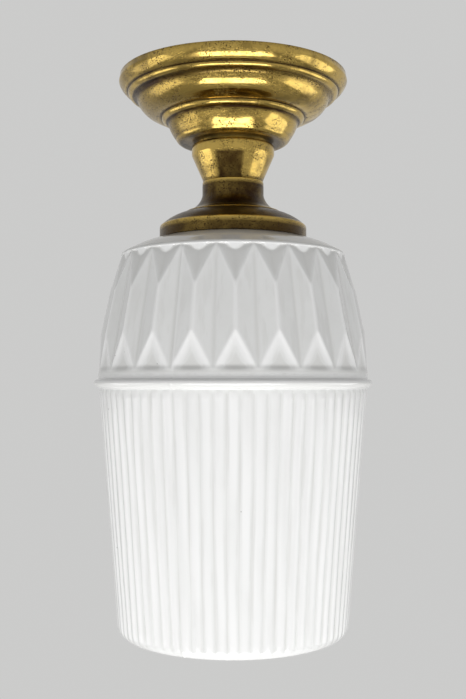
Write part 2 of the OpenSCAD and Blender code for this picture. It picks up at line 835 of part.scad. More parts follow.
// Facets between the shoulder's lip and the plain band, as one solid down to the axis
module facet_band() {
    n = facet_count;
    half = pitch_angle / 2;
    lip_r = shoulder_d / 2;
    band_r = band_d / 2 - bury;
    top = edge + lip_h * 2;
    low = band_top - 1;
    // Each facet has these ten points from the top down, at its middle (a) and at its edge (b)
    points = [for (k = [0:n - 1]) let (a = k * pitch_angle + facet_turn, b = a + half) each [
        around(a, lip_r - 3, top), around(b, lip_r - 3, top),
        around(a, lip_r * cos(half) - lip_inset, edge - lip_inset * 2), around(b, lip_r - bury, edge + bury),
        around(a, ridge_top_r, ridge_top), around(a, ridge_low_r, ridge_top - ridge_l),
        around(a, band_r * cos(half), band_top - bury), around(b, band_r, band_top - bury),
        around(a, band_r - 2, low), around(b, band_r - 2, low)
    ]];
    faces = [for (k = [0:n - 1])
        let (p = 10 * k, q = 10 * ((k + 1) % n), o = 10 * ((k + n - 1) % n))
        each [
            [p, p + 1, p + 3], [p, p + 3, p + 2], [p + 1, q, q + 2], [p + 1, q + 2, p + 3],
            [p + 2, p + 3, p + 4], [p + 2, p + 4, o + 3],
            [p + 3, p + 5, p + 4], [p + 3, p + 7, p + 5], [p + 3, q + 4, q + 5], [p + 3, q + 5, p + 7],
            [p + 5, p + 7, p + 6], [p + 5, p + 6, o + 7],
            [p + 6, p + 7, p + 9], [p + 6, p + 9, p + 8], [p + 7, q + 6, q + 8], [p + 7, q + 8, p + 9]
        ]];
    polyhedron(points, concat(
        faces,
        [[for (k = [n - 1:-1:0]) each [10 * k + 1, 10 * k]]],
        [[for (k = [0:n - 1]) each [10 * k + 8, 10 * k + 9]]]
    ));
}

// Fluted wall, as one solid down to the axis, whose flutes fade out at both ends
module fluted_wall() {
    n = rib_count * rib_steps;
    top_r = wall_top_d / 2 - rib_depth;
    low_r = foot_d / 2 - rib_depth;
    rows = [
        [bead_low + 1, top_r - 1.5, 0], [bead_low - 0.2, top_r, 0], [bead_low - 2, top_r, 1],
        [foot_top + rib_fade, low_r, 1], [foot_top - 1, low_r - 0.4, 0], [foot_top - 1.6, low_r - 2, 0]
    ];
    points = [for (row = rows, i = [0:n - 1])
        let (swell = pow(abs(cos(180 * i / rib_steps)), 0.7))
        around(360 * i / n, row[1] + row[2] * rib_depth * swell, row[0])];
    last = len(rows) - 1;
    faces = [for (r = [0:last - 1], i = [0:n - 1]) let (j = (i + 1) % n)
        each [[r * n + i, r * n + j, (r + 1) * n + j], [r * n + i, (r + 1) * n + j, (r + 1) * n + i]]];
    polyhedron(points, concat(
        faces,
        [[for (i = [n - 1:-1:0]) i]],
        [[for (i = [0:n - 1]) last * n + i]]
    ));
}

// Shoulder, bands and bottom of the shade, round about the axis
module shade_core() {
    neck_r = glass_neck_d / 2;
    lip_r = shoulder_d / 2;
    band_r = band_d / 2;
    wall_r = wall_top_d / 2 - rib_depth;
    foot_rad = foot_d / 2 - rib_depth;
    corner = 2;
    ledge = skirt_d / 2 + play;
    rotate_extrude()
        polygon(concat(
            [[0, glass_top]],
            bow([neck_r - 1, glass_top], [neck_r, glass_top - 1], 0.29, 4),
            [[neck_r, glass_top - 1], [neck_r, seat]],
            bow([ledge, seat], [lip_r - corner * 0.8, edge + corner], 0.7, 10),
            bow([lip_r - corner * 0.8, edge + corner], [lip_r, edge + lip_h], 0.3, 5),
            [[lip_r, edge + lip_h], [lip_r, edge], [lip_r - 3, edge - 0.4]],
            [[band_r - 2.5, band_top + 0.4], [band_r - 1, band_top], [band_r, band_top], [band_r, band_low]],
            bow([band_r + sunk, band_low], [bead_d / 2, bead_mid], 0.5, 6),
            bow([bead_d / 2, bead_mid], [wall_r + sunk, bead_low], 0.5, 6),
            [[wall_r + sunk, bead_low], [wall_r - sunk, bead_low - 2 * sunk]],
            [[foot_rad - sunk, foot_top + rib_fade]],
            bow([foot_rad, foot_top], [foot_rad - foot_r, shade_low], foot_r * 0.29, 10),
            [[foot_rad - foot_r, shade_low], [0, shade_low]]
        ));
}

// Hollow of the shade and the bore of its neck
module shade_hollow() {
    bore_r = glass_bore / 2;
    slant = glass_wall * 1.1;
    shoulder_in = shoulder_d / 2 - slant;
    band_in = band_d / 2 - glass_wall - 0.2;
    foot_in = foot_d / 2 - rib_depth - glass_wall;
    rotate_extrude()
        polygon(concat(
            [[0, glass_top + 1], [bore_r, glass_top + 1], [bore_r, seat - glass_wall]],
            [[shoulder_in - 2.4, edge - glass_wall + 1], [shoulder_in, edge - glass_wall]],
            [[band_in, band_top], [band_in, bead_low]],
            bow([foot_in, foot_top], [foot_in - foot_r, shade_low + glass_wall], foot_r * 0.29, 6),
            [[foot_in - foot_r, shade_low + glass_wall], [0, shade_low + glass_wall]]
        ));
}

module shade() {
    color(opal)
        difference() {
            union() {
                shade_core();
                facet_band();
                fluted_wall();
                ridge(glass_neck_d / 2, glass_thread_d / 2, glass_pitch, glass_ridge_low, 0,
                    glass_ridge_to, glass_ridge_w, 10);
            }
            shade_hollow();
        }
}

module bulb_contact() {
    color(steel)
        rotate_extrude()
            polygon([[0, tip], [1.6, tip], [tip_r, tip - tip_h], [0, tip - tip_h]]);
}

module bulb_insulator() {
    color(rubber)
        washer_cone(tip_r, cap_core_d / 2 - cap_lip - shell_wall - slip, tip - tip_h, insulator_h);
}

// Closed cone frustum that widens downwards
module washer_cone(r_top, r_low, top, h) {
    rotate_extrude()
        polygon([[0, top], [r_top, top], [r_low, top - h * 0.75], [r_low, top - h - 1], [0, top - h - 1]]);
}

module bulb_cap() {
    r = cap_core_d / 2;
    line = [
        [r - cap_lip, shell_top + 0.6], [r, shell_top - 0.6], [r, cap_end + 6.4], [cap_foot_r, cap_end + 5],
        [cap_foot_r, cap_end + 0.8], [cap_foot_r + 0.7, cap_end]
    ];
    color(steel)
        union() {
            spun(line, shell_wall);
            ridge(r, cap_thread_d / 2, cap_pitch, cap_ridge_low, 0, 360 * cap_turns, cap_ridge_w, 15);
        }
}

module bulb_glass() {
    r = bulb_d / 2;
    mid = bulb_low + r;
    join = [r * cos(35), mid + r * sin(35)];
    throat = [cap_thread_d / 2 + 0.5, cap_end - 1.2];
    socket = [cap_inner_r, cap_end + 4];
    line = concat(
        [socket, [socket.x, cap_end]],
        bow(throat, join, -norm(join - throat) / 2 * tan(8.75), 10),
        [for (a = [35:-6.25:-83.75]) [r * cos(a), mid + r * sin(a)]]
    );
    inner = inset(line, bulb_wall);
    color("#f6f4ee")
        rotate_extrude()
            polygon(concat(line, [[0, bulb_low], [0, bulb_low + bulb_wall]], reversed(inner)));
}

module bulb_stem() {
    top = cap_end + 2;
    flare_r = cap_inner_r - bulb_wall - slip;
    flare_t = 1.4;
    edge_in = 1;
    edge_h = 1.5;
    dip = 2;
    sag = 2.4;
    cup_h = 6;
    flare_foot_h = 16;
    rod_r = 3;
    rod_end_r = 1.6;
    color("#dfe6e6")
        rotate_extrude()
            polygon(concat(
                [[0, top - cup_h], [flare_r - flare_t, top], [flare_r, top], [flare_r - edge_in, top - edge_h]],
                bow([flare_r - flare_t, top - dip], [rod_r, top - flare_foot_h], -sag, 6),
                [[rod_r, top - flare_foot_h], [rod_end_r, stem_low], [0, stem_low]]
            ));
}

module support_wires() {
    start = stem_low + 1;
    end = filament_z + coil_r + slip;
    color(steel)
        for (s = [-1, 1])
            tube_along([[s, 0, start], [s * 1.2, 0, stem_low - 1], [s * filament_r, 0, end + 1],
                [s * filament_r, 0, end]], 0.35, 8);
}

module filament() {
    color(steel)
        translate([0, 0, filament_z])
            rotate([0, 0, 180])
                rotate_extrude(angle = 180)
                    translate([filament_r, 0])
                        circle(r = coil_r, $fn = 16);
}

ceiling_strap();
strap_nuts();
earth_screw();
earth_washer();
threaded_tube();
tube_bushes();
terminal_block();
terminal_tubes();
terminal_block_screws();
block_fixing_screw();
canopy();
canopy_washer();
neck_cup();
gallery();
thread_ring();
gallery_washer();
gallery_nut();
holder_cap();
holder_lock_screw();
holder_skirt();
holder_insert();
holder_terminals();
holder_terminal_screws();
screw_shell();
centre_contact();
contact_rivet();
live_wire();
neutral_wire();
glass_gasket();
shade();
bulb_contact();
bulb_insulator();
bulb_cap();
bulb_glass();
bulb_stem();
support_wires();
filament();
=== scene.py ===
import json
import math
import bpy
import numpy as np
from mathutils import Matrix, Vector


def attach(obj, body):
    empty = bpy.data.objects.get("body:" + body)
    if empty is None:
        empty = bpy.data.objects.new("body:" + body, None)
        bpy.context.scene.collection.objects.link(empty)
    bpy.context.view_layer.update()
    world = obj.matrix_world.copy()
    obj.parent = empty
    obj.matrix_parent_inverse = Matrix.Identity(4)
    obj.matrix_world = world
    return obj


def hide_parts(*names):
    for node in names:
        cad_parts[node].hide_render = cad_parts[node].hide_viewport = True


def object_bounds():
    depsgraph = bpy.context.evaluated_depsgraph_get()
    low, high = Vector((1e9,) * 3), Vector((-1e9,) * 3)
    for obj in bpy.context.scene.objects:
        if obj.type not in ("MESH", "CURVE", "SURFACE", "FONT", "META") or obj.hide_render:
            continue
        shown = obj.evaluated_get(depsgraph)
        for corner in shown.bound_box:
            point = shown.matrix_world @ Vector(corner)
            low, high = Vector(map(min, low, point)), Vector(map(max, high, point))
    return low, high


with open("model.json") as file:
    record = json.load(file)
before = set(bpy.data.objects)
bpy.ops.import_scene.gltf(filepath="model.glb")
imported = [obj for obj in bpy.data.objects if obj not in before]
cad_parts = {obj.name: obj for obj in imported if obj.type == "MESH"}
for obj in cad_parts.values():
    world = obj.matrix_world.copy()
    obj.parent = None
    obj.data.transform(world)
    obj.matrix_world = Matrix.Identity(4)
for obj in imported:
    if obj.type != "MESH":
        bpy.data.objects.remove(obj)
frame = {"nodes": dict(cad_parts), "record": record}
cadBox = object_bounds()
cadNodes = frame["nodes"]
mm = 0.001
fullTurn = 2 * math.pi
lampMiddle = Vector((0, 0, (cadBox[0].z + cadBox[1].z) / 2))
print("frame loaded:", len(cadNodes), "nodes")

# The photograph's viewpoint: just below the middle of the lamp, looking up by two degrees
camera = {"distance": 0.5353, "level": -0.1669, "pitch": 1.977, "lens": 50.73, "sensor": 36}


def makeCamera():
    lens = bpy.data.cameras.new("photoCamera")
    lens.lens = camera["lens"]
    lens.sensor_width = camera["sensor"]
    body = bpy.data.objects.new("photoCamera", lens)
    body.location = (0, -camera["distance"], camera["level"])
    body.rotation_euler = (math.radians(90 + camera["pitch"]), 0, 0)
    bpy.context.scene.collection.objects.link(body)
    bpy.context.scene.camera = body


makeCamera()
print("camera placed")


# Shader node helpers: each returns the socket that it made

def feed(tree, value, socket):
    if isinstance(value, bpy.types.NodeSocket):
        tree.links.new(value, socket)
    else:
        socket.default_value = value


def noiseIn(tree, vector, scale, detail=3.0, roughness=0.55):
    node = tree.nodes.new("ShaderNodeTexNoise")
    tree.links.new(vector, node.inputs["Vector"])
    feed(tree, scale, node.inputs["Scale"])
    feed(tree, detail, node.inputs["Detail"])
    feed(tree, roughness, node.inputs["Roughness"])
    return node.outputs["Fac"]


def mathIn(tree, operation, a, b=0.0):
    node = tree.nodes.new("ShaderNodeMath")
    node.operation = operation
    feed(tree, a, node.inputs[0])
    feed(tree, b, node.inputs[1])
    return node.outputs[0]


def rangeIn(tree, value, low, high, toLow=0.0, toHigh=1.0):
    node = tree.nodes.new("ShaderNodeMapRange")
    node.interpolation_type = "SMOOTHSTEP"
    feed(tree, value, node.inputs["Value"])
    feed(tree, low, node.inputs["From Min"])
    feed(tree, high, node.inputs["From Max"])
    feed(tree, toLow, node.inputs["To Min"])
    feed(tree, toHigh, node.inputs["To Max"])
    return node.outputs["Result"]


# A mix of colours has them on its sockets 6 and 7, and its result on 2
def mixIn(tree, factor, a, b):
    node = tree.nodes.new("ShaderNodeMix")
    node.data_type = "RGBA"
    feed(tree, factor, node.inputs[0])
    feed(tree, a, node.inputs[6])
    feed(tree, b, node.inputs[7])
    return node.outputs[2]


def bumpIn(tree, height, strength, distance):
    node = tree.nodes.new("ShaderNodeBump")
    feed(tree, strength, node.inputs["Strength"])
    feed(tree, distance, node.inputs["Distance"])
    tree.links.new(height, node.inputs["Height"])
    return node.outputs["Normal"]


def storedIn(tree, name):
    node = tree.nodes.new("ShaderNodeAttribute")
    node.attribute_name = name
    return node.outputs["Fac"]


def newGroup(name, inputs, outputs):
    group = bpy.data.node_groups.new(name, "ShaderNodeTree")
    for label, kind, value in inputs:
        socket = group.interface.new_socket(name=label, in_out="INPUT", socket_type=kind)
        socket.default_value = value
    for label, kind in outputs:
        group.interface.new_socket(name=label, in_out="OUTPUT", socket_type=kind)
    given = group.nodes.new("NodeGroupInput").outputs
    made = group.nodes.new("NodeGroupOutput").inputs
    place = group.nodes.new("ShaderNodeTexCoord").outputs["Object"]
    return group, given, made, place


floatSocket = "NodeSocketFloat"
colorSocket = "NodeSocketColor"
vectorSocket = "NodeSocketVector"
surfaceOutputs = [("Color", colorSocket), ("Roughness", floatSocket), ("Normal", vectorSocket)]

# Pairs are the two ends of a soft step
brassMarks = {"patchy": (0.44, 0.7), "crowdScale": 2.2, "crowded": (0.4, 0.68),
              "hollowCrowd": 1.6, "specked": (0.53, 0.61), "grimy": (0.25, 0.6),
              "leastGrime": 0.7, "patchRelief": 0.6, "pitStrength": 0.5}


# Old polished brass: stains in patches, dark specks, grime where the sheet is hollow, and painted
# shade
def makeTarnish():
    group, given, made, place = newGroup(
        "tarnish",
        [("Metal", colorSocket, (0.8, 0.6, 0.3, 1)), ("Stain", colorSocket, (0.2, 0.1, 0.03, 1)),
         ("Amount", floatSocket, 0.5), ("Hollows", floatSocket, 0.5), ("Specks", floatSocket, 0.5),
         ("Patch Scale", floatSocket, 60), ("Speck Scale", floatSocket, 1500),
         ("Smooth", floatSocket, 0.2), ("Dull", floatSocket, 0.5), ("Depth", floatSocket, 0.0001)],
        surfaceOutputs)
    # The stored hollow value also carries painted shade and painted dark reflections from each
    # sheet
    hollow = storedIn(group, "hollow")
    patches = noiseIn(group, place, given["Patch Scale"], 5, 0.62)
    fine = noiseIn(group, place, given["Speck Scale"], 2, 0.5)
    crowdScale = mathIn(group, "MULTIPLY", given["Patch Scale"], brassMarks["crowdScale"])
    crowd = rangeIn(group, noiseIn(group, place, crowdScale, 4), *brassMarks["crowded"])
    inHollows = mathIn(group, "MULTIPLY", hollow, brassMarks["hollowCrowd"])
    crowd = mathIn(group, "MINIMUM", mathIn(group, "ADD", crowd, inHollows), 1.0)
    specks = mathIn(group, "MULTIPLY", rangeIn(group, fine, *brassMarks["specked"]), crowd)
    specks = mathIn(group, "MULTIPLY", specks, given["Specks"])
    patchy = rangeIn(group, patches, *brassMarks["patchy"])
    stain = mathIn(group, "MULTIPLY", patchy, given["Amount"])
    deep = mathIn(group, "MULTIPLY", hollow, given["Hollows"])
    grimy = rangeIn(group, patches, *brassMarks["grimy"], brassMarks["leastGrime"], 1.0)
    grimeAndShade = mathIn(group, "MULTIPLY", deep, grimy)
    dark = mathIn(group, "MAXIMUM", mathIn(group, "MAXIMUM", stain, grimeAndShade), specks)
    feed(group, mixIn(group, dark, given["Metal"], given["Stain"]), made["Color"])
    feed(group, rangeIn(group, dark, 0.0, 1.0, given["Smooth"], given["Dull"]), made["Roughness"])
    patchRelief = mathIn(group, "MULTIPLY", patches, brassMarks["patchRelief"])
    pits = mathIn(group, "SUBTRACT", patchRelief, specks)
    feed(group, bumpIn(group, pits, brassMarks["pitStrength"], given["Depth"]), made["Normal"])
    return group


wearMarks = {"edge": (0.51, 0.56), "dusty": (0.42, 0.68), "dull": (0.3, 0.7),
             "grainStrength": 0.6}


# Edge wear, uneven tone and a fine grain, for metal, rubber, fibre and plastic alike
def makeWear():
    group, given, made, place = newGroup(
        "wearAndPaintedLight",
        [("Color", colorSocket, (0.5, 0.5, 0.5, 1)), ("Worn", colorSocket, (0.7, 0.7, 0.7, 1)),
         ("Dirt", colorSocket, (0.2, 0.18, 0.15, 1)), ("Wear", floatSocket, 0.5),
         ("Dirt Amount", floatSocket, 0.4), ("Patch Scale", floatSocket, 120),
         ("Grain Scale", floatSocket, 1800), ("Grain Depth", floatSocket, 0.00004),
         ("Smooth", floatSocket, 0.3), ("Dull", floatSocket, 0.5)],
        surfaceOutputs)
    edge = group.nodes.new("ShaderNodeNewGeometry").outputs["Pointiness"]
    patches = noiseIn(group, place, given["Patch Scale"], 4, 0.6)
    grain = noiseIn(group, place, given["Grain Scale"], 2, 0.5)
    rubbed = mathIn(group, "MULTIPLY", rangeIn(group, edge, *wearMarks["edge"]), given["Wear"])
    dusty = rangeIn(group, patches, *wearMarks["dusty"])
    dusty = mathIn(group, "MULTIPLY", dusty, given["Dirt Amount"])
    toned = mixIn(group, dusty, given["Color"], given["Dirt"])
    feed(group, mixIn(group, rubbed, toned, given["Worn"]), made["Color"])
    rough = rangeIn(group, patches, *wearMarks["dull"], given["Smooth"], given["Dull"])
    feed(group, rough, made["Roughness"])
    grained = bumpIn(group, grain, wearMarks["grainStrength"], given["Grain Depth"])
    feed(group, grained, made["Normal"])
    return group


glazeMarks = {"dotScale": 160, "dot": (0.045, 0.075), "sparseScale": 21, "sparse": (0.6, 0.66),
              "film": (0.4, 0.72), "dull": (0.3, 0.72), "streakScale": 260,
              "streak": (0.42, 0.68), "streakStretch": (1, 1, 0.1)}


# Fired or moulded gloss: a faint wave in the surface, a film of dust and a few dark specks.
# A piece's painted light runs from -1, painted shade in its valleys, to 1, a painted highlight on
# its crests
def makeGlaze():
    group, given, made, place = newGroup(
        "glaze",
        [("Color", colorSocket, (0.9, 0.9, 0.9, 1)), ("Film", colorSocket, (0.7, 0.68, 0.6, 1)),
         ("Speck", colorSocket, (0.15, 0.13, 0.1, 1)), ("Crest", colorSocket, (1, 1, 1, 1)),
         ("Painted Highlight Amount", floatSocket, 0.0), ("Painted Shade Amount", floatSocket, 0.0),
         ("Film Amount", floatSocket, 0.2), ("Streaks", floatSocket, 0.0),
         ("Specks", floatSocket, 0.5), ("Patch Scale", floatSocket, 30),
         ("Wave Scale", floatSocket, 60), ("Wave Depth", floatSocket, 0.0002),
         ("Smooth", floatSocket, 0.08), ("Dull", floatSocket, 0.2)],
        surfaceOutputs)
    patches = noiseIn(group, place, given["Patch Scale"], 5, 0.6)
    wave = noiseIn(group, place, given["Wave Scale"], 2, 0.45)
    dots = group.nodes.new("ShaderNodeTexVoronoi")
    dots.inputs["Scale"].default_value = glazeMarks["dotScale"]
    group.links.new(place, dots.inputs["Vector"])
    dot = rangeIn(group, dots.outputs["Distance"], *glazeMarks["dot"], 1.0, 0.0)
    sparse = noiseIn(group, place, glazeMarks["sparseScale"], 2)
    spot = mathIn(group, "MULTIPLY", dot, rangeIn(group, sparse, *glazeMarks["sparse"]))
    spot = mathIn(group, "MULTIPLY", spot, given["Specks"])
    # Painted light: a painted highlight towards the Crest colour, painted shade towards the Film
    # colour
    paintedLight = storedIn(group, "paintedLight")
    crest = rangeIn(group, paintedLight, 0.0, 1.0)
    crest = mathIn(group, "MULTIPLY", crest, given["Painted Highlight Amount"])
    paintedShade = rangeIn(group, paintedLight, 0.0, -1.0)
    paintedShade = mathIn(group, "MULTIPLY", paintedShade, given["Painted Shade Amount"])
    film = rangeIn(group, patches, *glazeMarks["film"])
    film = mathIn(group, "MULTIPLY", film, given["Film Amount"])
    drawn = group.nodes.new("ShaderNodeMapping")
    drawn.inputs["Scale"].default_value = glazeMarks["streakStretch"]
    group.links.new(place, drawn.inputs["Vector"])
    streak = noiseIn(group, drawn.outputs["Vector"], glazeMarks["streakScale"], 3)
    streak = rangeIn(group, streak, *glazeMarks["streak"])
    film = mathIn(group, "MAXIMUM", film, mathIn(group, "MULTIPLY", streak, given["Streaks"]))
    toned = mixIn(group, mathIn(group, "MAXIMUM", film, paintedShade), given["Color"], given["Film"])
    toned = mixIn(group, crest, toned, given["Crest"])
    feed(group, mixIn(group, spot, toned, given["Speck"]), made["Color"])
    rough = rangeIn(group, patches, *glazeMarks["dull"], given["Smooth"], given["Dull"])
    feed(group, rough, made["Roughness"])
    feed(group, bumpIn(group, wave, 1.0, given["Wave Depth"]), made["Normal"])
    return group


tarnish, wearAndPaintedLight, glaze = makeTarnish(), makeWear(), makeGlaze()


def newMaterial(name, group, values, shader):
    material = bpy.data.materials.new(name)
    material.use_nodes = True
    tree = material.node_tree
    principled = tree.nodes["Principled BSDF"].inputs
    placed = tree.nodes.new("ShaderNodeGroup")
    placed.node_tree = group
    for label, value in values.items():
        placed.inputs[label].default_value = (*value, 1) if isinstance(value, tuple) else value
    for output, socket in (("Color", "Base Color"), ("Roughness", "Roughness"),
                           ("Normal", "Normal")):
        tree.links.new(placed.outputs[output], principled[socket])
    for socket, value in shader.items():
        principled[socket].default_value = value
    return material


materials = {
    "aged_brass": newMaterial(
        "agedBrass", tarnish,
        {"Metal": (0.62, 0.43, 0.11), "Stain": (0.03, 0.013, 0.003), "Amount": 0.6,
         "Hollows": 1.0, "Specks": 1.0, "Patch Scale": 60, "Speck Scale": 1600, "Smooth": 0.12,
         "Dull": 0.34, "Depth": 0.00015},
        {"Metallic": 1.0, "Coat Weight": 0.1, "Coat Roughness": 0.1}),
    "plain_brass": newMaterial(
        "plainBrass", wearAndPaintedLight,
        {"Color": (0.62, 0.45, 0.19), "Worn": (0.83, 0.66, 0.34), "Dirt": (0.26, 0.16, 0.06),
         "Wear": 0.8, "Dirt Amount": 0.5, "Patch Scale": 140, "Grain Scale": 2600,
         "Grain Depth": 0.00003, "Smooth": 0.24, "Dull": 0.42},
        {"Metallic": 1.0}),
    "zinc_steel": newMaterial(
        "zincSteel", wearAndPaintedLight,
        {"Color": (0.52, 0.53, 0.54), "Worn": (0.72, 0.72, 0.72), "Dirt": (0.3, 0.27, 0.23),
         "Wear": 0.9, "Dirt Amount": 0.45, "Patch Scale": 190, "Grain Scale": 2200,
         "Grain Depth": 0.00004, "Smooth": 0.3, "Dull": 0.5},
        {"Metallic": 1.0}),
    # Its Crest colour is a painted highlight, and its Film colour also paints shade into valleys
    "opal_glass": newMaterial(
        "opalGlass", glaze,
        {"Color": (0.9, 0.905, 0.895), "Film": (0.69, 0.685, 0.66), "Speck": (0.2, 0.19, 0.17),
         "Crest": (0.97, 0.97, 0.965), "Painted Highlight Amount": 0.95, "Painted Shade Amount": 0.5,
         "Film Amount": 0.25, "Streaks": 0.3, "Specks": 0.8, "Patch Scale": 26, "Wave Scale": 48,
         "Wave Depth": 0.00018, "Smooth": 0.07, "Dull": 0.16},
        {"IOR": 1.5, "Coat Weight": 0.25, "Coat Roughness": 0.04}),
    "porcelain": newMaterial(
        "porcelain", glaze,
        {"Color": (0.82, 0.79, 0.7), "Film": (0.6, 0.55, 0.45), "Speck": (0.2, 0.15, 0.1),
         "Film Amount": 0.5, "Specks": 0.8, "Patch Scale": 90, "Wave Scale": 220,
         "Wave Depth": 0.0001, "Smooth": 0.12, "Dull": 0.32},
        {"IOR": 1.5}),
    "black_rubber": newMaterial(
        "blackRubber", wearAndPaintedLight,
        {"Color": (0.025, 0.024, 0.023), "Worn": (0.08, 0.077, 0.072), "Dirt": (0.1, 0.09, 0.08),
         "Wear": 0.5, "Dirt Amount": 0.5, "Patch Scale": 160, "Grain Scale": 1500,
         "Grain Depth": 0.00008, "Smooth": 0.6, "Dull": 0.8},
        {"IOR": 1.48}),
    "fibre": newMaterial(
        "fibre", wearAndPaintedLight,
        {"Color": (0.2, 0.035, 0.02), "Worn": (0.34, 0.1, 0.06), "Dirt": (0.09, 0.03, 0.02),
         "Wear": 0.5, "Dirt Amount": 0.5, "Patch Scale": 260, "Grain Scale": 3000,
         "Grain Depth": 0.00006, "Smooth": 0.55, "Dull": 0.75},
        {"IOR": 1.5}),
    "brown_wire": newMaterial(
        "brownWire", wearAndPaintedLight,
        {"Color": (0.13, 0.055, 0.022), "Worn": (0.24, 0.13, 0.07), "Dirt": (0.2, 0.16, 0.12),
         "Wear": 0.3, "Dirt Amount": 0.4, "Patch Scale": 150, "Grain Scale": 1400,
         "Grain Depth": 0.00003, "Smooth": 0.36, "Dull": 0.55},
        {"IOR": 1.5}),
    "blue_wire": newMaterial(
        "blueWire", wearAndPaintedLight,
        {"Color": (0.035, 0.12, 0.32), "Worn": (0.12, 0.22, 0.42), "Dirt": (0.16, 0.18, 0.2),
         "Wear": 0.3, "Dirt Amount": 0.4, "Patch Scale": 150, "Grain Scale": 1400,
         "Grain Depth": 0.00003, "Smooth": 0.36, "Dull": 0.55},
        {"IOR": 1.5}),
    "frosted_glass": newMaterial(
        "frostedGlass", glaze,
        {"Color": (0.93, 0.93, 0.9), "Film": (0.82, 0.81, 0.76), "Speck": (0.6, 0.58, 0.5),
         "Film Amount": 0.3, "Specks": 0.2, "Patch Scale": 60, "Wave Scale": 500,
         "Wave Depth": 0.00002, "Smooth": 0.32, "Dull": 0.48},
        {"Transmission Weight": 0.55, "IOR": 1.5}),
    "clear_glass": newMaterial(
        "clearGlass", glaze,
        {"Color": (0.93, 0.96, 0.95), "Film": (0.85, 0.87, 0.85), "Speck": (0.6, 0.6, 0.55),
         "Film Amount": 0.2, "Specks": 0.1, "Patch Scale": 200, "Wave Scale": 300,
         "Wave Depth": 0.00003, "Smooth": 0.03, "Dull": 0.1},
        {"Transmission Weight": 1.0, "IOR": 1.5}),
    "black_glass": newMaterial(
        "blackGlass", glaze,
        {"Color": (0.02, 0.018, 0.022), "Film": (0.09, 0.085, 0.08), "Speck": (0.2, 0.19, 0.17),
         "Film Amount": 0.5, "Specks": 0.4, "Patch Scale": 220, "Wave Scale": 300,
         "Wave Depth": 0.00005, "Smooth": 0.1, "Dull": 0.3},
        {"IOR": 1.52}),
    "bulb_aluminium": newMaterial(
        "bulbAluminium", wearAndPaintedLight,
        {"Color": (0.68, 0.68, 0.66), "Worn": (0.85, 0.85, 0.84), "Dirt": (0.4, 0.38, 0.33),
         "Wear": 0.7, "Dirt Amount": 0.35, "Patch Scale": 170, "Grain Scale": 2400,
         "Grain Depth": 0.00003, "Smooth": 0.25, "Dull": 0.42},
        {"Metallic": 1.0}),
    "tinned_contact": newMaterial(
        "tinnedContact", wearAndPaintedLight,
        {"Color": (0.6, 0.59, 0.56), "Worn": (0.8, 0.79, 0.76), "Dirt": (0.2, 0.18, 0.16),
         "Wear": 0.6, "Dirt Amount": 0.6, "Patch Scale": 300, "Grain Scale": 1800,
         "Grain Depth": 0.0001, "Smooth": 0.35, "Dull": 0.6},
        {"Metallic": 1.0}),
    "filament_wire": newMaterial(
        "filamentWire", wearAndPaintedLight,
        {"Color": (0.3, 0.3, 0.31), "Worn": (0.5, 0.5, 0.5), "Dirt": (0.12, 0.12, 0.13),
         "Wear": 0.4, "Dirt Amount": 0.5, "Patch Scale": 400, "Grain Scale": 4000,
         "Grain Depth": 0.00002, "Smooth": 0.35, "Dull": 0.55},
        {"Metallic": 1.0}),
}

for part in frame["record"]["subparts"]:
    mesh = cadNodes[part["node"]].data
    if not mesh.materials:
        mesh.materials.append(None)
    for place in range(len(mesh.materials)):
        mesh.materials[place] = materials[part["material_slot"]]
print("materials made:", len(materials))


# Profiles are lists of (radius, level) in millimetres. A bow is a shallow arc that stands out
# from the straight line between its ends, and its last point is left to what follows

def bow(start, end, stand, count=8):
    start, end = np.array(start, float), np.array(end, float)
    reach = np.linalg.norm(end - start)
    half = 2 * math.atan(2 * stand / reach)
    radius = reach / 2 / math.sin(half)
    way = (end - start) / reach
    side = np.array([-way[1], way[0]])
    middle = (start + end) / 2 - side * radius * math.cos(half)
    turns = [half * (2 * i / count - 1) for i in range(count)]
    return [tuple(middle + radius * (side * math.cos(a) + way * math.sin(a))) for a in turns]


def smoothStep(value, low, high):
    t = np.clip((value - low) / (high - low), 0, 1)
    return t * t * (3 - 2 * t)


def smoothed(values, sigma, wrap=False):
    reach = int(3 * sigma) + 1
    kernel = np.exp(-0.5 * (np.arange(-reach, reach + 1) / sigma) ** 2)
    kernel /= kernel.sum()
    if wrap:
        padded = np.concatenate([values[-reach:], values, values[:reach]])
    else:
        padded = np.concatenate([2 * values[0] - values[reach:0:-1], values,
                                 2 * values[-1] - values[-2:-reach - 2:-1]])
    columns = padded.reshape(len(padded), -1)
    done = [np.convolve(columns[:, k], kernel, "valid") for k in range(columns.shape[1])]
    return np.stack(done, axis=1).reshape(values.shape)


path = {"step": 0.08, "turn": 0.11, "longest": 2.0, "hollowReach": 1.1}


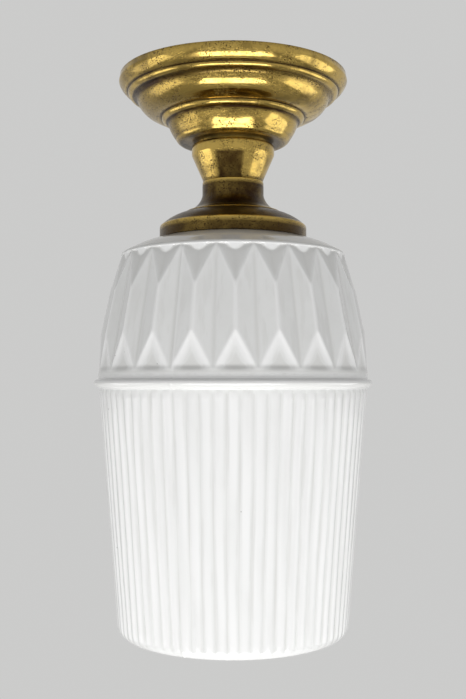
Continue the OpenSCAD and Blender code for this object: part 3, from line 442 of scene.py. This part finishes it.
# An even run of points along a profile with its corners eased, then thinned where it is straight.
# It comes with its outward directions and with how hollow it is at each point
def easedPath(points, ease, turn=path["turn"], longest=path["longest"]):
    step = path["step"]
    points = np.array(points, float)
    lengths = np.linalg.norm(np.diff(points, axis=0), axis=1)
    along = np.concatenate([[0], np.cumsum(lengths)])
    count = int(along[-1] / step) + 2
    at = np.linspace(0, along[-1], count)
    line = np.stack([np.interp(at, along, points[:, k]) for k in range(2)], axis=1)
    line = smoothed(line, ease / step)
    way = np.diff(line, axis=0)
    heading = np.unwrap(np.arctan2(way[:, 1], way[:, 0]))
    kept, last, went = [0], heading[0], 0.0
    for i in range(1, count - 1):
        went += step
        if abs(heading[i] - last) > turn or went > longest:
            kept.append(i)
            last, went = heading[i], 0.0
    kept.append(count - 1)
    way = np.gradient(line, axis=0)
    way /= np.linalg.norm(way, axis=1)[:, None]
    outward = np.stack([-way[:, 1], way[:, 0]], axis=1)
    reach = int(path["hollowReach"] / step)
    order = np.arange(count)
    before = line[np.maximum(order - reach, 0)]
    after = line[np.minimum(order + reach, count - 1)]
    hollow = ((before + after) / 2 - line) * outward
    return line[kept], outward[kept], hollow.sum(axis=1)[kept]


def addPiece(name, vertices, faces, slot, body, replaced=()):
    mesh = bpy.data.meshes.new(name)
    mesh.from_pydata(vertices, [], faces)
    mesh.polygons.foreach_set("use_smooth", [True] * len(mesh.polygons))
    mesh.materials.append(materials[slot])
    mesh.update()
    piece = bpy.data.objects.new(name, mesh)
    bpy.context.scene.collection.objects.link(piece)
    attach(piece, body)
    if replaced:
        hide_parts(*replaced)
    return piece


# Quads between rows of equal length that go round the axis, outside face outwards
def ringFaces(rows, columns, start=0, close=False):
    faces = []
    for i in range(rows if close else rows - 1):
        upper, lower = start + i * columns, start + (i + 1) % rows * columns
        for j in range(columns):
            k = (j + 1) % columns
            faces.append((upper + j, lower + j, lower + k, upper + k))
    return faces


def turned(radius, level, azimuth):
    radius, level, azimuth = np.broadcast_arrays(radius, level, azimuth)
    points = np.stack([radius * np.sin(azimuth), -radius * np.cos(azimuth), level], axis=-1)
    return (points * mm).reshape(-1, 3)


def storeValues(piece, name, values):
    attribute = piece.data.attributes.new(name, "FLOAT", "POINT")
    attribute.data.foreach_set("value", np.asarray(values, np.float32).ravel())


brass = {"columns": 288, "ease": 0.2, "innerTurn": 0.25, "innerLongest": 2.5, "deepest": 0.28,
         "insideDarkness": 0.7, "stainFade": 1.5}


# A spun sheet: its outer profile goes from the top down, and its inner one lies a sheet inside.
# How dark it is painted goes by depth below the ceiling, and a dark band lies round one azimuth,
# in degrees
def spunSheet(name, node, part, outline):
    outer, _, hollow = easedPath(outline, brass["ease"])
    inner, across, _ = easedPath(outline, brass["ease"], brass["innerTurn"],
                                 brass["innerLongest"])
    inner = (inner - across * part["sheet"])[::-1]
    profile = np.concatenate([outer, inner])
    azimuth = np.arange(brass["columns"]) / brass["columns"] * fullTurn
    vertices = turned(profile[:, :1], profile[:, 1:], azimuth)
    faces = ringFaces(len(profile), brass["columns"], close=True)
    shell = addPiece(name, vertices.tolist(), faces, "aged_brass", "fixture", [node])
    # By depth: tarnish, with painted shade where parts meet and over the dark gallery
    depths, amounts = zip(*part["tarnishAndShadeByDepth"])
    dark = hollow / brass["deepest"] + np.interp(-outer[:, 1], depths, amounts)
    dark = np.concatenate([dark, np.full(len(inner), brass["insideDarkness"])])
    # The band darkens one side of the canopy and the gallery's back, and is a painted dark
    # reflection on the neck
    stain = part["stain"]
    away = np.abs((np.degrees(azimuth) - stain["turn"] + 180) % 360 - 180)
    side = 1 - smoothStep(away, stain["core"], stain["edge"])
    lower = smoothStep(-profile[:, 1], stain["from"], stain["from"] + brass["stainFade"])
    stainAndPaintedReflection = stain["amount"] * lower[:, None] * side
    storeValues(shell, "hollow", np.clip(dark[:, None] + stainAndPaintedReflection, 0, 1))


# The canopy is darker round its left side, and painted shade darkens the bottom of its bowl, over
# the neck
canopy = {"sheet": 0.8, "bore": 5.25, "rim": 62.2, "tier": 52.4, "bowl": 35.6, "low": -36.1,
          "tarnishAndShadeByDepth": [(0, 0.05), (34.5, 0.05), (36, 0.9)],
          "stain": {"turn": -70, "core": 5, "edge": 75, "from": 2, "amount": 0.55}}
spunSheet("canopy_shell", "canopy", canopy, [
    (canopy["rim"] - 0.6, 0),
    *bow((canopy["rim"] - 0.6, -0.6), (canopy["rim"], -3.3), 0.1, 4),
    *bow((canopy["rim"], -3.3), (58.2, -8.2), 0.55),
    *bow((57.4, -8.3), (54.8, -10.9), 0.8, 6),
    *bow((54.8, -10.9), (canopy["tier"], -12.6), -0.35, 5),
    *bow((canopy["tier"], -12.6), (44.6, -20.4), 1.3, 10),
    *bow((44.6, -20.4), (39.8, -21.6), 0.35, 5),
    *bow((39.1, -21.6), (36.6, -24.4), 0.8, 6),
    *bow((36.6, -24.4), (canopy["bowl"], -25.0), -0.15, 4),
    *bow((canopy["bowl"], -25.0), (31.5, -33.1), 0.5, 8),
    *bow((31.5, -33.1), (27.0, -36.0), 0.9, 6),
    (27.0, canopy["low"]), (canopy["bore"], canopy["low"])])

# Painted shade darkens the neck's top under the canopy, and a painted dark reflection runs down
# its front
neck = {"sheet": 0.8, "radius": 22.5, "foot": 16.4, "top": -37.4, "low": -57.0, "round": 0.8,
        "band": 5.2, "tarnishAndShadeByDepth": [(37.4, 0.3), (38.5, 0.1), (57, 0.12)],
        "stain": {"turn": -5, "core": 17, "edge": 25, "from": 43, "amount": 0.85}}
spunSheet("neck_shell", "neck_cup", neck, [
    (canopy["bore"], neck["top"]),
    *bow((neck["radius"] - neck["round"], neck["top"]),
         (neck["radius"], neck["top"] - neck["round"]), 0.23, 4),
    *bow((neck["radius"], neck["top"] - neck["round"]),
         (neck["radius"], neck["top"] - neck["band"]), 0.1, 4),
    (neck["radius"], neck["top"] - neck["band"]), (neck["foot"], neck["low"] + 0.6),
    (neck["foot"], neck["low"])])

# The gallery is painted dark, painted shade and dark reflections, with a painted glint on the
# flare's lip at 73.2 mm
gallery = {"sheet": 0.9, "stem": 16.7, "flare": 26.0, "skirt": 39.9, "top": -57.0, "low": -88.6,
           "round": 0.8,
           "tarnishAndShadeByDepth": [(57, 1.0), (71, 0.95), (73.2, 0.3), (74, 0.6), (75, 1.0), (81, 0.95),
                    (84, 0.9), (88, 0.95)],
           "stain": {"turn": 180, "core": 10, "edge": 90, "from": 57, "amount": 0.2}}
spunSheet("gallery_shell", "gallery", gallery, [
    (canopy["bore"], gallery["top"]),
    *bow((gallery["stem"] - gallery["round"], gallery["top"]),
         (gallery["stem"], gallery["top"] - gallery["round"]), 0.23, 4),
    (gallery["stem"], gallery["top"] - gallery["round"]),
    *bow((gallery["stem"], -64.7), (gallery["flare"], -73.8), -1.9, 10),
    (gallery["flare"], -73.8),
    *bow((gallery["flare"] + 0.3, -74.5), (38.9, -81.1), 0.9, 10),
    *bow((38.9, -81.1), (gallery["skirt"], -82.4), 0.25, 4),
    (gallery["skirt"], -82.4), (gallery["skirt"], gallery["low"])])
print("brass shells made")


# The glass: columns go round the axis, and rows run from the middle of the inside up over
# the neck and down the outside to the middle of the bottom
shade = {"bore": 32.5, "neck": 35.6, "rim": -81.6, "neckLow": -88.9, "lip": 60.6,
         "lipLevel": -98.2, "band": 72.6, "bandTop": -160.5, "bead": 74.97, "beadLevel": -166.9,
         "wallTop": -169.3, "inside": -296.6, "bottom": -300.0, "centre": 1.5, "insideShare": 4,
         "seamTurn": -23.5, "seam": 0.22, "seamWidth": 0.45,
         "rings": 0.06, "ringTurn": 2.1, "ringStart": (41, 45), "ringEnd": (52, 57)}

# Corners and rows of one facet. Its depths, as all others, are counted down from the ceiling
facet = {"count": 21, "turn": 1.0, "inset": 0.1, "lipMiddleLevel": -100.0,
         "lipEdge": (60.4, -98.2), "ridgeTop": (66.6, -118.6), "ridgeLow": (71.2, -141.0),
         "bandEdge": (72.4, -160.7), "meetDepths": (158.0, 161.4), "ledge": 2.2,
         "notch": 2.8, "notchWidth": 0.66, "notchLow": -102.8, "scoop": 0.45, "scoopSag": 1.1,
         "ease": 0.35, "wide": 1.5, "toneEase": 0.5, "raise": 0.6, "paintedLightScale": 0.22,
         "spacing": 0.2, "lowest": -161.2, "samples": 96, "meanRadius": 66,
         "rowRuns": [(-98.4, -104, -0.3), (-104.3, -140, -0.8), (-140.2, -161.1, -0.5)]}

flute = {"count": 68, "columns": 12, "depth": 0.7, "shape": 0.7, "evenDepths": (164.5, 172),
         "startDepths": (169.3, 172.2), "endDepths": (293, 299), "crest": (0.1, 0.95),
         "sway": 0.035, "quickSway": 0.02, "swell": 0.08, "wearAndPaintedLight": 0.28, "seamFrom": 20}

# Painted tones add to the painted light that the glaze shows: -1 is painted shade and 1 a painted
# highlight
# Shoulder and peak paint highlight and shade, notch a highlight, strip light over the bead's
# shadow, the rest shade
paintedTones = {"shoulder": 0.5, "shoulderHollow": 1.5, "shoulderEnds": (-0.2, 0.9),
         "shoulderTop": -89, "edge": -1.4, "edgeDepths": (96.4, 97.4),
         "notched": (0.02, 0.3), "top": -0.6,
         "peak": 0.9, "peakFall": 1.5, "peakRim": (0.2, 1.2), "peakMiddle": (3.22, 6.9),
         "band": -0.9, "strip": 0.95, "stripDepths": (161, 162.8), "stripLow": -166.2,
         "bead": -0.8, "beadLevel": -168, "beadReach": 1.7, "under": -0.7,
         "underDepths": (298.5, 300)}

columns = flute["count"] * flute["columns"]
evenly = np.arange(columns) / columns * fullTurn
pitch = fullTurn / facet["count"]


# Columns shifted a little, so that each ridge and each valley between two facets has one of
# its own
def facetAzimuths():
    lines = np.arange(-1, 2 * facet["count"] + 2)
    target = math.radians(facet["turn"]) + lines * pitch / 2
    nearest = np.round(target / fullTurn * columns)
    return np.interp(np.arange(columns), nearest, target)


def planeRadius(corners, azimuth, level):
    a, b, c = [np.array([r * math.sin(t), -r * math.cos(t), z]) for t, r, z in corners]
    normal = np.cross(b - a, c - a)
    across = normal[0] * np.sin(azimuth) - normal[1] * np.cos(azimuth)
    return (normal @ a - normal[2] * level) / across


# One facet as a radius and a painted tone for each level and each turn from its middle: a leaning
# triangle under the lip with a small notch, two long kites, and a scooped triangle over the band
def facetRadii(levels, turns):
    half = pitch / 2
    bandRadius, bandLevel = facet["bandEdge"]
    lipMiddle = (0, shade["lip"] * math.cos(half) - facet["inset"], facet["lipMiddleLevel"])
    lipEdge = (half, *facet["lipEdge"])
    ridgeTop, ridgeLow = (0, *facet["ridgeTop"]), (0, *facet["ridgeLow"])
    bandMiddle = (0, bandRadius * math.cos(half), bandLevel)
    bandEdge = (half, bandRadius, bandLevel)
    turn, level = np.meshgrid(np.abs(turns), levels)
    top = planeRadius([lipMiddle, lipEdge, ridgeTop], turn, level)
    upper = planeRadius([lipEdge, ridgeLow, ridgeTop], turn, level)
    lower = planeRadius([lipEdge, bandEdge, ridgeLow], turn, level)
    base = planeRadius([ridgeLow, bandEdge, bandMiddle], turn, level)
    split = ridgeLow[2] + (lipEdge[2] - ridgeLow[2]) * turn / half

    down = np.clip((shade["lipLevel"] - level) / (shade["lipLevel"] - facet["notchLow"]), 0, 1)
    notched = np.clip(1 - down - turn / (facet["notchWidth"] * half), 0, 1)
    top = np.minimum(top + facet["notch"] * notched,
                     np.maximum(top, shade["lip"] - facet["inset"]))

    along = np.clip((ridgeLow[2] - level) / (ridgeLow[2] - bandLevel), 1e-3, 1)
    scoop = np.sin(math.pi * along ** facet["scoopSag"])
    base = base - facet["scoop"] * scoop * np.clip(1 - (turn / half / along) ** 2, 0, 1)

    radius = np.minimum(np.where(level > split, upper, lower), np.minimum(top, base))
    ledge = shade["lip"] - facet["ledge"] * (shade["lipLevel"] - level)
    meet = smoothStep(-level, *facet["meetDepths"])
    # Painted highlight along the edges of the scooped triangle, painted shade inside it
    inward = (half * along - turn) * shade["band"]
    peak = smoothStep(inward, *paintedTones["peakRim"]) * (level < ridgeLow[2])
    peakTone = paintedTones["peak"] - paintedTones["peakFall"] * smoothStep(inward, *paintedTones["peakMiddle"])
    paintedTone = peak * peakTone * (1 - meet)
    # A painted highlight in the notch, painted shade at the band and on the leaning top triangle
    paintedTone = paintedTone + smoothStep(notched, *paintedTones["notched"]) + paintedTones["band"] * meet
    onTop = (top < upper) * (level > ridgeTop[2]) * (notched < paintedTones["notched"][0])
    paintedTone = paintedTone + paintedTones["top"] * onTop
    return np.maximum(radius, ledge) * (1 - meet) + shade["band"] * meet, paintedTone


def facetRows():
    spacing, count = facet["spacing"], facet["samples"]
    fine = np.arange(shade["lipLevel"], facet["lowest"], -spacing)
    turns = (np.arange(count) / count - 0.5) * pitch
    step = pitch * facet["meanRadius"] / count

    def spread(grid, reach):
        return smoothed(smoothed(grid, reach / spacing).T, reach / step, wrap=True).T

    radii, paintedTone = facetRadii(fine, turns)
    soft, wide = spread(radii, facet["ease"]), spread(radii, facet["wide"])
    paintedTone = spread(paintedTone, facet["toneEase"])
    # Painted light: a painted highlight where the facets stand out of the wider easing, painted
    # shade where they sink
    paintedLight = np.clip((soft - wide) / facet["paintedLightScale"] + paintedTone, -1, 1)
    soft = soft + facet["raise"] * (soft - wide)
    levels = np.concatenate([np.arange(*run) for run in facet["rowRuns"]])
    azimuth = facetAzimuths()
    at = ((azimuth - math.radians(facet["turn"])) / pitch + 0.5) % 1 * count
    low = np.floor(at).astype(int)
    share = at - low

    def onColumns(grid, level):
        line = np.array([np.interp(-level, -fine, grid[:, k]) for k in range(count)])
        return line[low % count] * (1 - share) + line[(low + 1) % count] * share

    rows = [onColumns(soft, level) for level in levels]
    paintedLightRows = [onColumns(paintedLight, level) for level in levels]
    return rows, paintedLightRows, levels, azimuth


# Flutes stand out of the wall in rounded ribs that waver a little, as pressed glass does
def fluteSwell(azimuth, level):
    rib = azimuth / fullTurn * flute["count"]
    number = np.round(rib) % flute["count"]
    sway = flute["sway"] * np.sin(level / 23 + 1.7 * np.sin(number))
    sway = sway + flute["quickSway"] * np.sin(level / 9 + 2.3 * number)
    uneven = 1 + flute["swell"] * np.sin(1.9 * number + level / 31)
    return uneven * np.abs(np.cos(np.pi * (rib + sway))) ** flute["shape"]


# Painted highlight on each rib's crest and painted shade in each valley, stronger in some places
# than in others
def fluteTone(swell, azimuth, level):
    patchy = np.sin(azimuth * 23 + level / 17) * np.cos(azimuth * 9)
    ribbed = smoothStep(swell, *flute["crest"]) * 2 - 1
    return ribbed * (1 - flute["wearAndPaintedLight"] + flute["wearAndPaintedLight"] * patchy)


def seamHeight(azimuth):
    away = (azimuth - math.radians(shade["seamTurn"]) + math.pi) % fullTurn - math.pi
    return shade["seam"] * np.exp(-(np.degrees(away) / shade["seamWidth"]) ** 2)


# The inside, from the middle of its floor up to the rim of the neck
def insidePath():
    low, bore = shade["inside"], shade["bore"]
    inside, _, _ = easedPath([
        (shade["centre"], low), (53.2, low), *bow((58.2, -295), (53.2, low), 1.45, 6)[::-1],
        (58.2, -295), (69, shade["wallTop"]), (69, shade["bandTop"]), (56.86, -101.8),
        (54.46, -100.8), (bore, -92.3), (bore, -83)], 0.5, 0.2, 6)
    return inside


# Over the rim, down the neck and out over the shoulder with its faint rings, to the lip
def abovePath():
    bore, neck, lip, rim = shade["bore"], shade["neck"], shade["lip"], shade["rim"]
    above, outward, hollow = easedPath([
        (bore, rim - 1), *bow((bore, rim - 1), (bore + 1, rim), 0.29, 4), (bore + 1, rim),
        *bow((neck - 1, rim), (neck, rim - 1), 0.29, 4), (neck, rim - 1),
        (neck, shade["neckLow"]), *bow((40.2, shade["neckLow"]), (59.0, -96.4), 0.7, 10),
        *bow((59.0, -96.4), (lip, -97.9), 0.3, 5), (lip, -97.9), (lip, shade["lipLevel"])],
        0.16, 0.12, 1.2)
    radius = above[:, 0]
    ripple = np.sin((radius - shade["ringStart"][0]) * shade["ringTurn"])
    ripple = ripple * smoothStep(radius, *shade["ringStart"])
    ripple = ripple * (1 - smoothStep(radius, *shade["ringEnd"]))
    return above + outward * (shade["rings"] * ripple)[:, None], hollow


# Down the strip, over the bead ring and down the wall, to the middle of the bottom
def belowPath():
    band, bead, bottom = shade["band"], (shade["bead"], shade["beadLevel"]), shade["bottom"]
    below, side, _ = easedPath([
        (band, -161.3), (band, -164.4), *bow((band + 0.5, -164.7), bead, 0.7, 6),
        *bow(bead, (72.0, shade["wallTop"]), 0.5, 6), (72.0, shade["wallTop"]),
        (71.5, -169.8), (61.6, -291.0), *bow((61.3, -295), (56.6, bottom), 1.45, 10),
        (56.6, bottom), (shade["centre"], bottom)], 0.16, 0.1, 2.2)
    return below, side


# The outside's rows, each as a radius, a level, an azimuth and a painted light value for every
# column
def outsideRows():
    rows = []

    def addRow(*values):
        rows.append([np.broadcast_to(value, (columns,)) for value in values])

    facets, facetPaintedLight, facetLevels, facetColumns = facetRows()
    seam = seamHeight(facetColumns)
    for (radius, level), hollow in zip(*abovePath()):
        # Painted highlight on the shoulder's crests, painted shade in its hollows and on the lip's
        # edge
        paintedTone = paintedTones["shoulder"] - hollow * paintedTones["shoulderHollow"]
        paintedTone = np.clip(paintedTone, *paintedTones["shoulderEnds"]) * (level < paintedTones["shoulderTop"])
        paintedTone = paintedTone + paintedTones["edge"] * smoothStep(-level, *paintedTones["edgeDepths"])
        addRow(radius, level, facetColumns, paintedTone)
    for line, paintedLight, level in zip(facets, facetPaintedLight, facetLevels):
        # The mould seam gets a painted highlight along it
        paintedLight = np.clip(paintedLight + seam / shade["seam"], -1, 1)
        addRow(line + seam, level, facetColumns, paintedLight)
    for (radius, level), (radial, axial) in zip(*belowPath()):
        even = smoothStep(-level, *flute["evenDepths"])
        azimuth = facetColumns * (1 - even) + evenly * even
        onWall = smoothStep(-level, *flute["startDepths"])
        onWall = onWall * (1 - smoothStep(-level, *flute["endDepths"]))
        swell = fluteSwell(azimuth, level)
        height = flute["depth"] * swell * onWall
        height = height + seamHeight(azimuth) * (radius > flute["seamFrom"])
        # Painted light on the strip over the bead's cast shadow, painted shade on the bead and the
        # underside
        strip = paintedTones["strip"] - paintedTones["band"]
        strip = paintedTones["band"] + strip * smoothStep(-level, *paintedTones["stripDepths"])
        onBead = (abs(level - paintedTones["beadLevel"]) < paintedTones["beadReach"]) * (1 - onWall)
        paintedTone = strip * (level > paintedTones["stripLow"]) + paintedTones["bead"] * onBead
        paintedTone = paintedTone + paintedTones["under"] * smoothStep(-level, *paintedTones["underDepths"])
        paintedTone = fluteTone(swell, azimuth, level) * onWall + paintedTone
        lowered = np.maximum(level + axial * height, shade["bottom"])
        addRow(radius + radial * height, lowered, azimuth, paintedTone)
    return [np.array(kind) for kind in zip(*rows)]


def makeShade():
    inside = insidePath()
    radii, levels, turns, paintedLightRows = outsideRows()
    share = shade["insideShare"]
    few = columns // share
    inner = turned(inside[:, :1], inside[:, 1:], np.arange(few) / few * fullTurn)
    outer = turned(radii, levels, turns)
    start = len(inner)
    centres = [[0, 0, shade["inside"] * mm], [0, 0, shade["bottom"] * mm]]
    vertices = inner.tolist() + outer.tolist() + centres
    faces = ringFaces(len(inside), few) + ringFaces(len(radii), columns, start)
    top = start - few
    for j in range(few):
        rim = [start + (share * j + k) % columns for k in range(share + 1)]
        faces.append((top + j, *rim, top + (j + 1) % few))
        faces.append((len(vertices) - 2, j, (j + 1) % few))
    last = start + (len(radii) - 1) * columns
    faces += [(last + j, len(vertices) - 1, last + (j + 1) % columns) for j in range(columns)]
    piece = addPiece("opal_shade", vertices, faces, "opal_glass", "shade", ["shade"])
    storeValues(piece, "paintedLight", np.concatenate([np.zeros(start), np.ravel(paintedLightRows), [0, 0]]))
    return piece


opalShade = makeShade()
print("shade made:", len(opalShade.data.polygons), "faces")

thread = {"radius": 35.6, "crest": 37.15, "pitch": 4, "low": -87.0, "width": 1.0, "rings": 120,
          "points": 9, "fade": 0.07, "least": 0.02, "sunk": 0.3}


# The glass thread: one turn of a rounded ridge that runs out into the neck at both ends
def makeThread():
    rings, points, sunk = thread["rings"], thread["points"], thread["sunk"]
    vertices = []
    for i in range(rings + 1):
        along = i / rings
        turn = fullTurn * i / rings
        swell = smoothStep(along, 0, thread["fade"])
        swell = swell * (1 - smoothStep(along, 1 - thread["fade"], 1))
        height = (thread["crest"] - thread["radius"]) * max(swell, thread["least"])
        for j in range(points):
            across = math.pi * j / (points - 1)
            radius = thread["radius"] - sunk + (height + sunk) * math.sin(across)
            level = thread["low"] + thread["pitch"] * i / rings
            level = level + thread["width"] * math.cos(across)
            vertices.append((radius * math.cos(turn) * mm, radius * math.sin(turn) * mm,
                             level * mm))
    faces = []
    for i in range(rings):
        near, far = i * points, (i + 1) * points
        for j in range(points):
            k = (j + 1) % points
            faces.append((near + j, near + k, far + k, far + j))
    faces.append(tuple(range(points))[::-1])
    faces.append(tuple(rings * points + j for j in range(points)))
    addPiece("glass_thread", vertices, faces, "opal_glass", "shade")


makeThread()

gasket = {"inner": 32.8, "outer": 35.3, "low": -81.3, "high": -80.3, "lean": 0.04,
          "columns": 240}


# The rubber ring is a little pinched and uneven where the dome presses on it
def makeGasket():
    inner, outer, low, high = gasket["inner"], gasket["outer"], gasket["low"], gasket["high"]
    outline = np.array([
        (inner, low + 0.5), (inner + 0.1, high - 0.2), (inner + 0.4, high), (outer - 0.5, high),
        (outer - 0.1, high - 0.25), (outer, low + 0.5), (outer - 0.15, low + 0.15),
        (outer - 0.5, low), (inner + 0.5, low), (inner + 0.1, low + 0.15)])
    middle = outline.mean(axis=0)
    azimuth = np.arange(gasket["columns"]) / gasket["columns"] * fullTurn
    pinch = 1 - gasket["lean"] * (1 + np.sin(azimuth * 7) * np.cos(azimuth * 3))
    radius = middle[0] + (outline[:, :1] - middle[0]) * pinch
    level = middle[1] + (outline[:, 1:] - middle[1]) * pinch
    vertices = turned(radius, level, azimuth)
    faces = ringFaces(len(outline), gasket["columns"], close=True)
    addPiece("neck_gasket", vertices.tolist(), faces, "black_rubber", "glass_ring",
             ["glass_gasket"])


makeGasket()
print("thread and gasket made")

# Plain soft studio light: a wide softbox in front and below, a weaker one in front, one on each
# side and one behind. The brass mirrors only some of them
softboxes = {
    "frontBox": {"azimuth": 0, "rise": -54, "distance": 1.2, "size": (1.5, 0.58), "power": 12,
                 "mirrored": True},
    "fillBox": {"azimuth": 0, "rise": -12, "distance": 1.2, "size": (1.2, 0.5), "power": 3.2,
                "mirrored": False},
    "leftBox": {"azimuth": -95, "rise": -22, "distance": 1.2, "size": (1.1, 0.6), "power": 2.8,
                "mirrored": True},
    "rightBox": {"azimuth": 95, "rise": -22, "distance": 1.2, "size": (1.1, 0.6), "power": 2.8,
                 "mirrored": True},
    "backBox": {"azimuth": 180, "rise": -5, "distance": 1.4, "size": (1.8, 1.1), "power": 6,
                "mirrored": False}}


def addSoftbox(name, box):
    azimuth, rise = math.radians(box["azimuth"]), math.radians(box["rise"])
    lamp = bpy.data.lights.new(name, "AREA")
    lamp.shape = "RECTANGLE"
    lamp.size, lamp.size_y = box["size"]
    lamp.energy = box["power"]
    body = bpy.data.objects.new(name, lamp)
    away = Vector((math.sin(azimuth) * math.cos(rise), -math.cos(azimuth) * math.cos(rise),
                   math.sin(rise)))
    body.location = lampMiddle + away * box["distance"]
    body.rotation_euler = (-away).to_track_quat("-Z", "Y").to_euler()
    body.visible_camera = False
    body.visible_glossy = box["mirrored"]
    bpy.context.scene.collection.objects.link(body)


for name, box in softboxes.items():
    addSoftbox(name, box)

backdrop = {"pale": (0.6, 0.6, 0.594, 1), "ambient": (0.255, 0.255, 0.255, 1)}


# What the camera, mirrors and glass see is the pale background, and the rest is ambient light
def makeWorld():
    world = bpy.data.worlds.new("studio")
    world.use_nodes = True
    tree = world.node_tree
    tree.nodes.clear()
    ray = tree.nodes.new("ShaderNodeLightPath").outputs
    seen = mathIn(tree, "ADD", ray["Is Camera Ray"], ray["Is Glossy Ray"])
    seen = mathIn(tree, "MINIMUM", mathIn(tree, "ADD", seen, ray["Is Transmission Ray"]), 1.0)
    pale = tree.nodes.new("ShaderNodeBackground")
    pale.inputs["Color"].default_value = backdrop["pale"]
    ambient = tree.nodes.new("ShaderNodeBackground")
    ambient.inputs["Color"].default_value = backdrop["ambient"]
    mix = tree.nodes.new("ShaderNodeMixShader")
    output = tree.nodes.new("ShaderNodeOutputWorld")
    tree.links.new(seen, mix.inputs[0])
    tree.links.new(ambient.outputs[0], mix.inputs[1])
    tree.links.new(pale.outputs[0], mix.inputs[2])
    tree.links.new(mix.outputs[0], output.inputs["Surface"])
    bpy.context.scene.world = world


ground = {"level": -1.6, "radius": 3.4, "sides": 64, "fade": (1.4, 3.2), "roughness": 0.9,
          "color": (0.78, 0.78, 0.77, 1), "glow": 0.57}


# A pale floor that fades into the background, so that no horizon shows
def makeFloor():
    material = bpy.data.materials.new("paleFloor")
    material.use_nodes = True
    tree = material.node_tree
    principled = tree.nodes["Principled BSDF"].inputs
    principled["Base Color"].default_value = ground["color"]
    principled["Roughness"].default_value = ground["roughness"]
    principled["Emission Color"].default_value = backdrop["pale"]
    seen = tree.nodes.new("ShaderNodeLightPath").outputs["Is Camera Ray"]
    glow = mathIn(tree, "MULTIPLY", seen, ground["glow"])
    tree.links.new(glow, principled["Emission Strength"])
    place = tree.nodes.new("ShaderNodeTexCoord").outputs["Object"]
    length = tree.nodes.new("ShaderNodeVectorMath")
    length.operation = "LENGTH"
    tree.links.new(place, length.inputs[0])
    solid = rangeIn(tree, length.outputs["Value"], *ground["fade"], 1.0, 0.0)
    tree.links.new(solid, principled["Alpha"])
    mesh = bpy.data.meshes.new("floor")
    turns = np.linspace(0, fullTurn, ground["sides"] + 1)[:-1]
    ring = [(ground["radius"] * math.cos(a), ground["radius"] * math.sin(a), 0) for a in turns]
    mesh.from_pydata(ring, [], [tuple(range(ground["sides"]))])
    mesh.materials.append(material)
    floor = bpy.data.objects.new("floor", mesh)
    floor.location.z = ground["level"]
    bpy.context.scene.collection.objects.link(floor)


makeWorld()
makeFloor()
bpy.context.scene.view_settings.view_transform = "Standard"
print("light, world and floor made")
